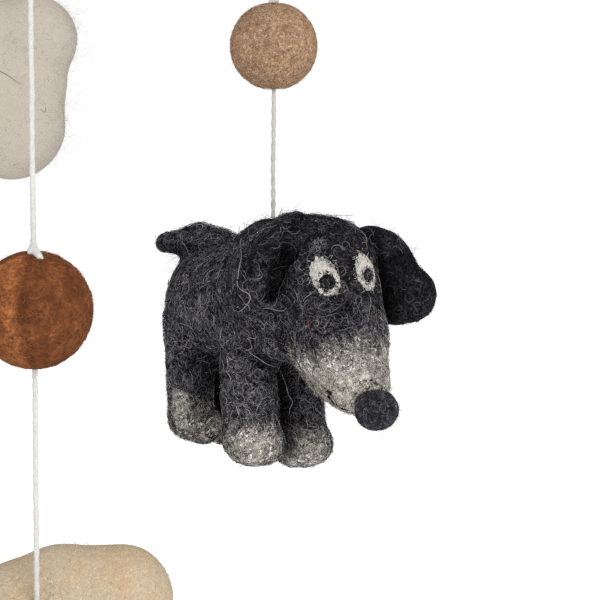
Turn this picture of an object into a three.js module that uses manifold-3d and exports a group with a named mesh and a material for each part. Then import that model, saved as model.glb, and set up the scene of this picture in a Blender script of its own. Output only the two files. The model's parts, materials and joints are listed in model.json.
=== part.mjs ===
// Felt mobile: three hanging strands of needle-felted wool pieces on cotton cord.
// Millimetres, +Z up. The origin is the top of the dog strand's hanging loop.
// The dog strand hangs at x = 0, y = 0; +Y points away from the viewer.
import * as THREE from 'three';
import { mergeVertices } from 'three/addons/utils/BufferGeometryUtils.js';
import Module from 'manifold-3d';

const wasm = await Module();
wasm.setup();

// Driving sizes
const cordDiameter = 1.3;
const cordSides = 8;
const cordStep = 2.5 * cordDiameter;
const seatGap = 0.3; // clearance between pieces that touch
const loopRadius = 4.2; // middle line of a hanging loop
const knotRadius = 1.9;
const ballKnotLift = 1.3; // from a ball's pole to the middle of the knot on it
const napeDrop = 104; // from the loop's top to the dog's nape
const beigeBall = { drop: 56.2, radius: 12.2 };
const rustBall = { drop: 116.6, radius: 14.4 };
const boreRadius = cordDiameter / 2 + seatGap;
const rimRound = 1.6; // how soft a seated form's rim is
const rustStrand = { x: -57, y: -100 };
const paleStrand = { x: -83.5, y: 10 };
const paleEntryDrop = 43.5; // where the pale strand's cord enters the lobed body
const creamEntryDrop = 191.5; // where the rust strand's cord enters the cream body

const v = (x, y, z) => new THREE.Vector3(x, y, z);
const wool = (color) => new THREE.MeshStandardMaterial({ color, roughness: 0.95, metalness: 0 });
const charcoal = 0x2b2a2c;
const cotton = 0xefebe3;

// Distance to a rounded cone between two balls
function taper(p, a, b, ra, rb) {
  const axis = b.clone().sub(a);
  const l2 = axis.lengthSq();
  const rr = ra - rb;
  const a2 = l2 - rr * rr;
  const pa = p.clone().sub(a);
  const y = pa.dot(axis);
  const z = y - l2;
  const x2 = pa.clone().multiplyScalar(l2).addScaledVector(axis, -y).lengthSq();
  const y2 = y * y * l2;
  const z2 = z * z * l2;
  const k = Math.sign(rr) * rr * rr * x2;
  if (Math.sign(z) * a2 * z2 > k) return Math.sqrt(x2 + z2) / l2 - rb;
  if (Math.sign(y) * a2 * y2 < k) return Math.sqrt(x2 + y2) / l2 - ra;
  return (Math.sqrt((x2 * a2) / l2) + y * rr) / l2 - ra;
}

// Wool forms run into each other over a soft width
function blend(a, b, width) {
  const h = Math.max(width - Math.abs(a - b), 0) / width;
  return Math.min(a, b) - (h * h * width) / 4;
}

// Runs a chain of balls (place, radius) together as one soft form
function chain(p, balls, width) {
  let d = Infinity;
  for (let i = 0; i + 1 < balls.length; i++) {
    const link = taper(p, balls[i].at, balls[i + 1].at, balls[i].r, balls[i + 1].r);
    d = d === Infinity ? link : blend(d, link, width);
  }
  return d;
}

// Dog, from the nape (0, 0, 0): every row is a ball of wool inside the form
const torso = [
  { at: v(-15.2, 23, -27.5), r: 16.3 },
  { at: v(-1.6, -2, -24.8), r: 16 },
];
const withers = [
  { at: v(0.8, -2, -13.2), r: 12.9 },
  { at: v(12.4, -16, -13.3), r: 13 },
];
const legs = [
  [
    { at: v(-7.2, -7.5, -35.8), r: 7.6 },
    { at: v(-5.9, -7.7, -62), r: 7.9 },
    { at: v(-2.3, -7.7, -63.9), r: 6 },
  ],
  [
    { at: v(6, 3.7, -37.5), r: 6.8 },
    { at: v(8.9, 3.7, -65.5), r: 6.9 },
    { at: v(5.8, 3.7, -66.6), r: 5.8 },
    { at: v(11.6, 3.7, -66.3), r: 5.7 },
  ],
  [
    { at: v(-24.4, 21, -36), r: 7.6 },
    { at: v(-24.4, 22.7, -62), r: 6.5 },
    { at: v(-20.7, 22.7, -64.2), r: 5.8 },
  ],
  [
    { at: v(-15, 29, -39.8), r: 7 },
    { at: v(-15.6, 34.5, -66), r: 6.4 },
  ],
];
const legWidth = 1.5; // how widely the balls of one leg run together

// Head frame: the face turns 20.5 degrees from the viewer and leans 6 degrees
const headYaw = THREE.MathUtils.degToRad(69.5);
const headLean = THREE.MathUtils.degToRad(6);
const skull = v(15.4, -19, -11.5);
const faceDir = v(Math.cos(headYaw), -Math.sin(headYaw), 0);
const level = v(Math.sin(headYaw), Math.cos(headYaw), 0);
const sideDir = level.clone().multiplyScalar(Math.cos(headLean)).add(v(0, 0, Math.sin(headLean)));
const crownDir = faceDir.clone().cross(sideDir);
function onHead(forward, side, up) {
  return skull.clone().addScaledVector(faceDir, forward).addScaledVector(sideDir, side)
    .addScaledVector(crownDir, up);
}
const head = [
  { at: onHead(0, 0, 0), r: 13.7 },
  { at: onHead(4, 0, -20), r: 12.4 },
  { at: onHead(16.5, 0, -30.5), r: 8 },
];
const jaw = [
  { at: onHead(4, -1.5, -24.5), r: 10.9 },
  { at: onHead(9, -1.5, -28.5), r: 9 },
  { at: onHead(14, -1, -31), r: 8 },
];
const nose = [
  { at: onHead(27, -0.65, -36.4), r: 5.4 },
  { at: onHead(27, 0.65, -36.4), r: 5.4 },
];
const nearEar = [
  { at: v(4.6, -17.5, -6.4), r: 6.2 },
  { at: v(-0.4, -18.5, -11.8), r: 7.2 },
  { at: v(-3.9, -18.5, -18.8), r: 6 },
];
const farEar = [
  { at: v(26.6, -13, -6.4), r: 5 },
  { at: v(32.8, -11, -12.3), r: 6.1 },
  { at: v(38, -10, -21), r: 7.1 },
  { at: v(34.3, -10.5, -22.7), r: 5.8 },
  { at: v(30.5, -12, -13.5), r: 5.6 },
];
const tail = [
  { at: v(-16, 26, -12), r: 5.6 },
  { at: v(-22, 29, -10), r: 4.5 },
  { at: v(-32.2, 29, -11.2), r: 2.8 },
];
const eyes = [
  { name: 'right', side: -5.6, up: -0.9, w: 3.45, h: 5.4, turn: 12,
    pupil: { side: -5.15, up: -2.4, w: 2.05, h: 2.45 } },
  { name: 'left', side: 6.15, up: -1.4, w: 3.1, h: 5.3, turn: 14,
    pupil: { side: 6.25, up: -2.35, w: 1.6, h: 1.85 } },
];
const headField = (p) => blend(chain(p, head, 4), chain(p, jaw, 2), 3);
function dogField(p) {
  let d = blend(chain(p, torso, 1), chain(p, withers, 1), 8);
  d = blend(d, Math.min(...legs.map((leg) => chain(p, leg, legWidth))), 5);
  return blend(d, headField(p), 4);
}

// Off-white lobed body, from the point where its cord enters
const paleLobes = [
  { x: 0, z: -12.8, r: 12.5 },
  { x: 15.1, z: -11.1, r: 12.6 },
  { x: 8.8, z: -35.9, r: 15.2 },
  { x: -15.6, z: -12, r: 12.2 },
  { x: -9.8, z: -36.5, r: 14.6 },
  { x: 0, z: -25, r: 16 },
  { x: 12.8, z: -24, r: 11.6 },
  { x: -14, z: -24.5, r: 11.2 },
];
const paleDepth = 0.66; // how deep the lobes are for their width
const paleSoft = 4;
function paleField(p) {
  const q = v(p.x, p.y / paleDepth, p.z);
  const lobes = paleLobes.map((lobe) => q.distanceTo(v(lobe.x, 0, lobe.z)) - lobe.r);
  return paleDepth * lobes.reduce((d, lobe) => blend(d, lobe, paleSoft));
}

// Cream body, from the point where its cord enters: a low front and a raised back
const creamBack = [
  { at: v(-9.3, 16, -8.8), r: 15.6 },
  { at: v(4.8, 16, -2.2), r: 14.1 },
  { at: v(19.5, 16, -1.1), r: 13.3 },
];
const creamFront = [
  { at: v(-13, -1, -16.5), r: 15.5 },
  { at: v(13, -1, -15.2), r: 15 },
];
const creamField = (p) => blend(chain(p, creamBack, 2), chain(p, creamFront, 1), 5);

// Corners, edges and faces of one grid cell
const corner = [...Array(8).keys()].map((c) => [c & 1, (c >> 1) & 1, (c >> 2) & 1]);
const edges = [];
for (let from = 0; from < 8; from++)
  for (const bit of [1, 2, 4]) if (!(from & bit)) edges.push([from, from | bit]);
const edgeIndex = new Map(edges.map(([from, to], i) => [from * 8 + to, i]));
const faces = [0, 1, 2].flatMap((axis) => [0, 1].map((side) => ({
  corners: [...Array(8).keys()].filter((c) => corner[c][axis] === side),
  edges: edges.map((ends, i) => i).filter((i) => edges[i].every((c) => corner[c][axis] === side)),
})));

// Sorts the crossed edges of a cell into the sheets of skin that pass through it
function sheetsOf(inside) {
  const sheet = edges.map(([from, to], i) => (inside[from] === inside[to] ? -1 : i));
  const join = (a, b) => {
    const [keep, drop] = [sheet[a], sheet[b]];
    sheet.forEach((s, i) => { if (s === drop) sheet[i] = keep; });
  };
  for (const face of faces) {
    const crossed = face.edges.filter((e) => sheet[e] >= 0);
    if (crossed.length === 2) join(crossed[0], crossed[1]);
    if (crossed.length < 4) continue;
    for (const c of face.corners.filter((n) => inside[n])) {
      const [first, second] = crossed.filter((e) => edges[e].includes(c));
      join(first, second);
    }
  }
  return sheet;
}

// Uphill direction of a field, as steep as the field is there
function slope(field, p, reach) {
  const out = v(0, 0, 0);
  for (const axis of ['x', 'y', 'z']) {
    const nudge = v(0, 0, 0);
    nudge[axis] = reach;
    out[axis] = (field(p.clone().add(nudge)) - field(p.clone().sub(nudge))) / (2 * reach);
  }
  return out;
}

// Moves a point that lies near the skin onto it
function settle(field, p, limit) {
  for (let round = 0; round < 3; round++) {
    const uphill = slope(field, p, 0.05);
    const move = -field(p) / Math.max(uphill.lengthSq(), 0.2);
    p.addScaledVector(uphill, THREE.MathUtils.clamp(move, -limit, limit));
  }
  return p;
}

// Closed skin of a soft field on a grid of square cells
function skin(field, low, high, cell) {
  const n = ['x', 'y', 'z'].map((k) => Math.ceil((high[k] - low[k]) / cell) + 1);
  const index = (i, j, k) => (k * n[1] + j) * n[0] + i;
  const place = (i, j, k) => v(low.x + i * cell, low.y + j * cell, low.z + k * cell);
  const value = new Float64Array(n[0] * n[1] * n[2]);
  for (let k = 0; k < n[2]; k++)
    for (let j = 0; j < n[1]; j++)
      for (let i = 0; i < n[0]; i++) value[index(i, j, k)] = field(place(i, j, k));

  const positions = [];
  const vertexOf = new Map();
  for (let k = 0; k + 1 < n[2]; k++)
    for (let j = 0; j + 1 < n[1]; j++)
      for (let i = 0; i + 1 < n[0]; i++) {
        const d = corner.map((c) => value[index(i + c[0], j + c[1], k + c[2])]);
        const sheet = sheetsOf(d.map((x) => x < 0));
        for (const id of new Set(sheet)) {
          if (id < 0) continue;
          const own = [...sheet.keys()].filter((e) => sheet[e] === id);
          const sum = v(0, 0, 0);
          for (const e of own) {
            const [a, b] = edges[e];
            const from = place(i + corner[a][0], j + corner[a][1], k + corner[a][2]);
            const to = place(i + corner[b][0], j + corner[b][1], k + corner[b][2]);
            sum.add(from.lerp(to, d[a] / (d[a] - d[b])));
            vertexOf.set(index(i, j, k) * 12 + e, positions.length / 3);
          }
          positions.push(...settle(field, sum.divideScalar(own.length), cell / 4).toArray());
        }
      }

  const triangles = [];
  const step = [[1, 0, 0], [0, 1, 0], [0, 0, 1]];
  const bits = (c) => c[0] + 2 * c[1] + 4 * c[2];
  for (let k = 1; k + 1 < n[2]; k++)
    for (let j = 1; j + 1 < n[1]; j++)
      for (let i = 1; i + 1 < n[0]; i++)
        for (let a = 0; a < 3; a++) {
          const inside = value[index(i, j, k)] < 0;
          if (inside === value[index(i + step[a][0], j + step[a][1], k + step[a][2])] < 0) continue;
          const u = step[(a + 1) % 3];
          const w = step[(a + 2) % 3];
          const ring = [[0, 0], [1, 0], [1, 1], [0, 1]].map(([p, q]) => {
            const back = [0, 1, 2].map((m) => p * u[m] + q * w[m]);
            const from = bits(back);
            const e = edgeIndex.get(from * 8 + from + bits(step[a]));
            return vertexOf.get(index(i - back[0], j - back[1], k - back[2]) * 12 + e);
          });
          if (!inside) ring.reverse();
          triangles.push(ring[0], ring[1], ring[2], ring[0], ring[2], ring[3]);
        }
  const geometry = new THREE.BufferGeometry();
  geometry.setAttribute('position', new THREE.Float32BufferAttribute(positions, 3));
  geometry.setIndex(triangles);
  return geometry;
}

// Grid limits around a chain of balls
function around(balls, margin) {
  const box = new THREE.Box3();
  for (const ball of balls) {
    box.expandByPoint(ball.at.clone().addScalar(ball.r));
    box.expandByPoint(ball.at.clone().subScalar(ball.r));
  }
  return box.expandByScalar(margin);
}

// A felt form of its own, kept clear of the form it is needled to
function feltOn(balls, width, base, cell) {
  const box = around(balls, cell * 2);
  const field = (p) => -blend(-chain(p, balls, width), base(p) - seatGap, rimRound);
  return skin(field, box.min, box.max, cell);
}

function piece(parent, name, geometry, material) {
  const mesh = new THREE.Mesh(geometry, material);
  mesh.name = name;
  parent.add(mesh);
  return mesh;
}

// Felt ball with a bore for the cord
function boredBall(radius, bore) {
  const reach = Math.asin(bore / radius);
  const arcs = 14;
  const profile = [];
  for (let i = 0; i <= arcs; i++) {
    const angle = -Math.PI / 2 + reach + (i / arcs) * (Math.PI - 2 * reach);
    profile.push(new THREE.Vector2(radius * Math.cos(angle), radius * Math.sin(angle)));
  }
  profile.push(profile[0].clone());
  return new THREE.LatheGeometry(profile, 24).rotateX(Math.PI / 2);
}

// Straight taut cord, from a lower to a higher point
function cordTube(x, y, bottom, top) {
  const section = new THREE.Shape();
  for (let i = 0; i < cordSides; i++) {
    const angle = (i / cordSides) * 2 * Math.PI;
    const r = cordDiameter / 2;
    if (i === 0) section.moveTo(r, 0);
    else section.lineTo(r * Math.cos(angle), r * Math.sin(angle));
  }
  const path = new THREE.LineCurve3(v(x, y, bottom), v(x, y, top));
  const steps = Math.max(2, Math.round((top - bottom) / cordStep));
  return new THREE.ExtrudeGeometry(section, { steps, bevelEnabled: false, extrudePath: path });
}

// Knot wound around the cord where it lies on a ball
function knotRing() {
  const profile = [];
  const half = 1.1;
  const reach = 1.5;
  for (let i = 0; i < 8; i++) {
    const angle = (i / 8) * 2 * Math.PI;
    const x = boreRadius + reach / 2 + (reach / 2) * Math.cos(angle);
    profile.push(new THREE.Vector2(x, half * Math.sin(angle)));
  }
  profile.push(profile[0].clone());
  return new THREE.LatheGeometry(profile, 12).rotateX(Math.PI / 2);
}

function toSolid(geometry) {
  const bare = geometry.clone();
  bare.deleteAttribute('normal');
  bare.deleteAttribute('uv');
  const merged = mergeVertices(bare, 1e-4);
  const vertProperties = new Float32Array(merged.attributes.position.array);
  const triVerts = new Uint32Array(merged.index.array);
  return new wasm.Manifold(new wasm.Mesh({ numProp: 3, vertProperties, triVerts }));
}

function fromSolid(solid) {
  const mesh = solid.getMesh();
  const geometry = new THREE.BufferGeometry();
  geometry.setAttribute('position', new THREE.BufferAttribute(mesh.vertProperties, 3));
  geometry.setIndex(new THREE.BufferAttribute(mesh.triVerts, 1));
  return geometry;
}

// Hanging loop whose two legs go into one knot; its top is at height 0
function hangingLoop() {
  const loop = new THREE.TorusGeometry(loopRadius, cordDiameter / 2, 6, 18);
  loop.rotateX(Math.PI / 2).translate(0, 0, -loopRadius - cordDiameter / 2);
  const knot = new THREE.SphereGeometry(knotRadius, 9, 6).rotateX(Math.PI / 2);
  knot.translate(0, 0, -2 * loopRadius - cordDiameter);
  return fromSolid(toSolid(loop).add(toSolid(knot)));
}
const knotBottom = -2 * loopRadius - cordDiameter - knotRadius;

// Height at which a cord's end, coming down along x = 0, y = 0, stands clear of a form
function seatHeight(field, start) {
  const rim = [v(0, 0, 0)];
  for (let i = 0; i < cordSides; i++) {
    const angle = (i / cordSides) * 2 * Math.PI;
    rim.push(v(Math.cos(angle), Math.sin(angle), 0).multiplyScalar(cordDiameter / 2));
  }
  let height = start;
  while (rim.every((p) => field(v(p.x, p.y, height)) > seatGap)) height -= 0.02;
  return height;
}

// Strand hardware shared by the three strands
function hang(parent, name, cordBottom) {
  piece(parent, `${name}_cord_loop`, hangingLoop(), wool(cotton));
  piece(parent, `${name}_cord`, cordTube(0, 0, cordBottom, knotBottom - seatGap), wool(cotton));
}

// Patch of flat felt pressed to the face: a dome over the face's own curve
const facePatchStart = 20; // in front of the face, from where a point is moved back onto it
const facePatchSteps = 60;
function facePatch(side, up, w, h, turn, lift, thickness) {
  const geometry = new THREE.SphereGeometry(1, 18, 8);
  const position = geometry.attributes.position;
  const angle = THREE.MathUtils.degToRad(turn);
  for (let i = 0; i < position.count; i++) {
    const a = position.getX(i) * w;
    const b = position.getY(i) * h;
    const s = side + a * Math.cos(angle) - b * Math.sin(angle);
    const u = up + a * Math.sin(angle) + b * Math.cos(angle);
    let forward = facePatchStart;
    for (let pass = 0; pass < facePatchSteps; pass++) forward -= headField(onHead(forward, s, u));
    const rise = lift + (thickness * (position.getZ(i) + 1)) / 2;
    const foot = onHead(forward, s, u);
    foot.addScaledVector(slope(headField, foot, 0.1).normalize(), rise);
    position.setXYZ(i, foot.x, foot.y, foot.z);
  }
  return geometry;
}

const mobile = new THREE.Group();

// Dog strand
const dogStrand = new THREE.Group();
mobile.add(dogStrand);
const dog = new THREE.Group();
dog.position.z = -napeDrop;
dogStrand.add(dog);
const bodyCell = 2.8;
const dogBox = around([...torso, ...withers, ...head, ...legs.flat()], bodyCell * 2);
piece(dog, 'dog_body', skin(dogField, dogBox.min, dogBox.max, bodyCell), wool(charcoal));
piece(dog, 'dog_near_ear', feltOn(nearEar, 4, dogField, 2.1), wool(charcoal));
piece(dog, 'dog_far_ear', feltOn(farEar, 3, dogField, 2.2), wool(charcoal));
piece(dog, 'dog_tail', feltOn(tail, 2, dogField, 2), wool(charcoal));
piece(dog, 'dog_nose', feltOn(nose, 1, dogField, 1.9), wool(0x232225));
const whiteThick = 0.9;
const pupilThick = 0.8;
for (const eye of eyes) {
  const pupil = eye.pupil;
  piece(dog, `dog_${eye.name}_eye_white`,
    facePatch(eye.side, eye.up, eye.w, eye.h, eye.turn, seatGap, whiteThick), wool(0xe9e4da));
  piece(dog, `dog_${eye.name}_pupil`,
    facePatch(pupil.side, pupil.up, pupil.w, pupil.h, 0, 2 * seatGap + whiteThick, pupilThick),
    wool(0x232225));
}
hang(dogStrand, 'dog', -napeDrop + seatHeight(dogField, 6));
const beige = piece(dogStrand, 'beige_ball', boredBall(beigeBall.radius, boreRadius), wool(0xb08b69));
beige.position.z = -beigeBall.drop;
const beigeKnot = piece(dogStrand, 'beige_ball_knot', knotRing(), wool(cotton));
beigeKnot.position.z = -beigeBall.drop + beigeBall.radius + ballKnotLift;

// Rust strand
const rust = new THREE.Group();
rust.position.set(rustStrand.x, rustStrand.y, 0);
mobile.add(rust);
hang(rust, 'rust', -creamEntryDrop + seatHeight(creamField, 20));
const rustFelt = piece(rust, 'rust_ball', boredBall(rustBall.radius, boreRadius), wool(0x83492a));
rustFelt.position.z = -rustBall.drop;
const rustKnot = piece(rust, 'rust_ball_knot', knotRing(), wool(cotton));
rustKnot.position.z = -rustBall.drop + rustBall.radius + ballKnotLift;
const creamCell = 4;
const creamBox = around([...creamBack, ...creamFront], creamCell * 2);
const cream = piece(rust, 'cream_body', skin(creamField, creamBox.min, creamBox.max, creamCell),
  wool(0xd9c4a2));
cream.position.z = -creamEntryDrop;

// Pale strand
const pale = new THREE.Group();
pale.position.set(paleStrand.x, paleStrand.y, 0);
mobile.add(pale);
const paleCell = 3.6;
hang(pale, 'pale', -paleEntryDrop + seatHeight(paleField, 10));
const paleBox = around(paleLobes.map((lobe) => ({ at: v(lobe.x, 0, lobe.z), r: lobe.r })), 6);
const paleBody = piece(pale, 'pale_body', skin(paleField, paleBox.min, paleBox.max, paleCell),
  wool(0xcdc3b2));
paleBody.position.z = -paleEntryDrop;

export default mobile;
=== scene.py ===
import json
import math
import bpy
import numpy as np
from mathutils import Matrix

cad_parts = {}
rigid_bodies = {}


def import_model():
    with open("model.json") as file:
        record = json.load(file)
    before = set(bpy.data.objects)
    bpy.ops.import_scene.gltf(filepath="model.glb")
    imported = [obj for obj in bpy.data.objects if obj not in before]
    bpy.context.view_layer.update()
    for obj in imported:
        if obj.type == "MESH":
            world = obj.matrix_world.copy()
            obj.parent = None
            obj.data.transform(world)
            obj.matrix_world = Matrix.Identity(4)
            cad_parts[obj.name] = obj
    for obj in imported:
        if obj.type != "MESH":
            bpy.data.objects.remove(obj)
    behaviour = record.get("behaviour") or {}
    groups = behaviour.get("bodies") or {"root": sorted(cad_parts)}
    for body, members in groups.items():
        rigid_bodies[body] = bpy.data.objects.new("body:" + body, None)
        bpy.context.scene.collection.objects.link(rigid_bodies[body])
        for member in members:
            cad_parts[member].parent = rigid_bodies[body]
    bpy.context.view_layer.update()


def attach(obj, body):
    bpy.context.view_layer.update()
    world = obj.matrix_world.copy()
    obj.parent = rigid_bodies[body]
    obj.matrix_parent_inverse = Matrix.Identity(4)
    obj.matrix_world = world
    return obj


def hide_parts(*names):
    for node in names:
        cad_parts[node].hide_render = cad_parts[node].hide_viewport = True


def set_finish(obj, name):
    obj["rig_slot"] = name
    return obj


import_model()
mm = 0.001  # felt, cords and camera are sized in millimetres
print("frame loaded")


def addObject(name, data):
    made = bpy.data.objects.new(name, data)
    bpy.context.scene.collection.objects.link(made)
    return made


def placed(right, up, back, at):
    matrix = np.eye(4)
    matrix[:3] = np.stack([right, up, back, at], 1)
    return Matrix(matrix.tolist())


# The camera looks down by some degrees; its roll is in radians, its focal length in photo pixels
view = {
    "target": (7.676, 0.0, -127.94), "distance": 700.0, "down": 8.0, "roll": -0.0043,
    "focal": 2465.0, "photoWide": 600.0, "sensorWide": 36.0, "nearest": 0.01, "farthest": 20.0,
}


def addCamera(setting):
    down = math.radians(setting["down"])
    forward = np.array([0.0, math.cos(down), -math.sin(down)])
    flatRight = np.array([1.0, 0.0, 0.0])
    flatUp = np.cross(flatRight, forward)
    turn = setting["roll"]
    right = math.cos(turn) * flatRight - math.sin(turn) * flatUp
    up = math.sin(turn) * flatRight + math.cos(turn) * flatUp
    place = np.array(setting["target"]) - forward * setting["distance"]
    data = bpy.data.cameras.new("camera")
    data.sensor_width = setting["sensorWide"]
    data.lens = setting["focal"] / setting["photoWide"] * data.sensor_width
    data.clip_start = setting["nearest"]
    data.clip_end = setting["farthest"]
    camera = addObject("camera", data)
    camera.matrix_world = placed(right, up, -forward, place * mm)
    bpy.context.scene.camera = camera


addCamera(view)


# faceLists holds arrays of quads or of triangles, in that order
def addMesh(name, points, faceLists, nodes, slotName):
    data = bpy.data.meshes.new(name)
    corners = np.concatenate([np.asarray(faces, int).ravel() for faces in faceLists])
    widths = np.concatenate([np.full(len(faces), len(faces[0])) for faces in faceLists])
    data.vertices.add(len(points))
    data.vertices.foreach_set("co", (np.asarray(points) * mm).astype(np.float32).ravel())
    data.loops.add(len(corners))
    data.loops.foreach_set("vertex_index", corners)
    data.polygons.add(len(widths))
    data.polygons.foreach_set("loop_start", np.concatenate([[0], np.cumsum(widths)[:-1]]))
    data.update(calc_edges=True)
    data.polygons.foreach_set("use_smooth", np.ones(len(widths), bool))
    made = addObject(name, data)
    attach(made, "root")
    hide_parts(*nodes)
    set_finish(made, slotName)
    return made


# A value or a colour for each point, which the materials read by its name
def paint(made, name, values):
    values = np.asarray(values, np.float32)
    kind, key = "FLOAT", "value"
    if values.ndim > 1:
        kind, key = "FLOAT_COLOR", "color"
        values = np.column_stack([values, np.ones(len(values), np.float32)]).ravel()
    made.data.attributes.new(name, kind, "POINT").data.foreach_set(key, values)


# Soft forms are distance fields: below nought in the wool and above it outside
cubeCorners = np.array([(c & 1, (c >> 1) & 1, (c >> 2) & 1) for c in range(8)])
cubeEdges = [(a, a | bit) for a in range(8) for bit in (1, 2, 4) if not a & bit]
noiseCells = 16  # the noise repeats after this many cells


def wander(points, size, seed):
    table = np.random.default_rng(seed).random((noiseCells,) * 3) * 2 - 1
    base = np.floor(points / size).astype(int)
    part = points / size - base
    part = part * part * (3 - 2 * part)
    total = np.zeros(len(points))
    for corner in cubeCorners:
        weight = np.prod(np.where(corner, part, 1 - part), axis=1)
        cell = (base + corner) % noiseCells
        total += weight * table[cell[:, 0], cell[:, 1], cell[:, 2]]
    return total


# Distance to two balls and the cone between them; a name that ends in 2 is a square
def taper(points, ballA, ballB):
    a, b = np.array(ballA[:3]), np.array(ballB[:3])
    radiusA, radiusB = ballA[3], ballB[3]
    axis = b - a
    length2 = axis @ axis
    drop = radiusA - radiusB
    flank2 = length2 - drop * drop
    fromA = points - a
    along = fromA @ axis
    past = along - length2
    across = fromA * length2 - along[:, None] * axis
    across2 = (across * across).sum(1)
    along2, past2 = along * along * length2, past * past * length2
    tilt = np.sign(drop) * drop * drop * across2
    side = (np.sqrt(across2 * flank2 / length2) + along * drop) / length2 - radiusA
    nearB = np.sqrt(across2 + past2) / length2 - radiusB
    nearA = np.sqrt(across2 + along2) / length2 - radiusA
    beyondB = np.sign(past) * flank2 * past2 > tilt
    beforeA = np.sign(along) * flank2 * along2 < tilt
    return np.where(beyondB, nearB, np.where(beforeA, nearA, side))


def ball(points, row):
    return np.linalg.norm(points - row[:3], axis=1) - row[3]


def blend(a, b, width):
    h = np.maximum(width - np.abs(a - b), 0) / width
    return np.minimum(a, b) - h * h * width / 4


def chain(points, balls, width):
    total = None
    for first, second in zip(balls, balls[1:]):
        link = taper(points, first, second)
        total = link if total is None else blend(total, link, width)
    return total


def smooth(value, low, high):
    t = np.clip((value - low) / (high - low), 0, 1)
    return t * t * (3 - 2 * t)


def slope(field, points, reach=0.05):
    out = np.zeros_like(points)
    for axis in range(3):
        nudge = np.zeros(3)
        nudge[axis] = reach
        out[:, axis] = (field(points + nudge) - field(points - nudge)) / (2 * reach)
    return out


def unit(vectors):
    return vectors / np.maximum(np.linalg.norm(vectors, axis=-1, keepdims=True), 1e-9)


# Points walk to the surface, or to a height above it, by steps that stay short where it is flat
walk = {"longest": 0.5, "flattest": 0.2}


def settle(field, points, height=0.0, rounds=3):
    for _ in range(rounds):
        uphill = slope(field, points)
        move = (height - field(points)) / np.maximum((uphill * uphill).sum(1), walk["flattest"])
        points = points + uphill * np.clip(move, -walk["longest"], walk["longest"])[:, None]
    return points


# One point in each cell that the surface crosses, and one face over each crossed edge
def skin(field, low, high, cell):
    axes = [np.arange(low[i], high[i] + 2 * cell, cell) for i in range(3)]
    grid = np.stack(np.meshgrid(*axes, indexing="ij"), -1)
    shape = grid.shape[:3]
    value = field(grid.reshape(-1, 3)).reshape(shape)
    cells = tuple(n - 1 for n in shape)

    def valueAt(corner):
        return value[tuple(slice(o, o + n) for o, n in zip(corner, cells))]

    total = np.zeros(cells + (3,))
    count = np.zeros(cells)
    for first, second in cubeEdges:
        a, b = valueAt(cubeCorners[first]), valueAt(cubeCorners[second])
        crossed = (a < 0) != (b < 0)
        share = np.where(crossed, a / np.where(crossed, a - b, 1), 0)
        spot = cubeCorners[first] + share[..., None] * (cubeCorners[second] - cubeCorners[first])
        total += np.where(crossed[..., None], spot, 0)
        count += crossed
    used = count > 0
    number = np.full(cells, -1)
    number[used] = np.arange(used.sum())
    start = np.array([axis[0] for axis in axes])
    points = start + cell * (np.argwhere(used) + total[used] / count[used][:, None])
    inside = value < 0
    quads = []
    for axis in range(3):
        pair = [(axis + 1) % 3, (axis + 2) % 3]
        before = np.take(inside, range(cells[axis]), axis)
        after = np.take(inside, range(1, shape[axis]), axis)
        spots = np.argwhere(before != after)
        free = (spots[:, pair] > 0) & (spots[:, pair] < [cells[k] for k in pair])
        spots = spots[free.all(1)]
        ring = []
        for step in ((0, 0), (1, 0), (1, 1), (0, 1)):
            back = spots.copy()
            back[:, pair] -= step
            ring.append(number[tuple(back.T)])
        ring = np.stack(ring, 1)
        outward = before[tuple(spots.T)]
        quads.append(np.where(outward[:, None], ring, ring[:, ::-1]))
    return points, np.concatenate(quads)


def around(balls, margin):
    table = np.array(balls)
    return (table[:, :3] - table[:, 3:]).min(0) - margin, (table[:, :3] + table[:, 3:]).max(0) + margin


def lumpy(field, points, lumps, seed):
    normals = unit(slope(field, points))
    for number, (size, depth) in enumerate(lumps):
        points = points + normals * (depth * wander(points, size, seed + number))[:, None]
    return points


# felt holds the mesh cell, the room left around the form, its lumps as (size, depth) and their seed
def addFelt(name, field, balls, felt, offset, nodes, slotName):
    low, high = around(balls, felt["room"])
    points, faces = skin(field, low, high, felt["cell"])
    points = lumpy(field, settle(field, points), felt["lumps"], felt["seed"])
    made = addMesh(name, points + offset, [faces], nodes, slotName)
    return {"object": made, "points": points, "faces": faces}


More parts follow.
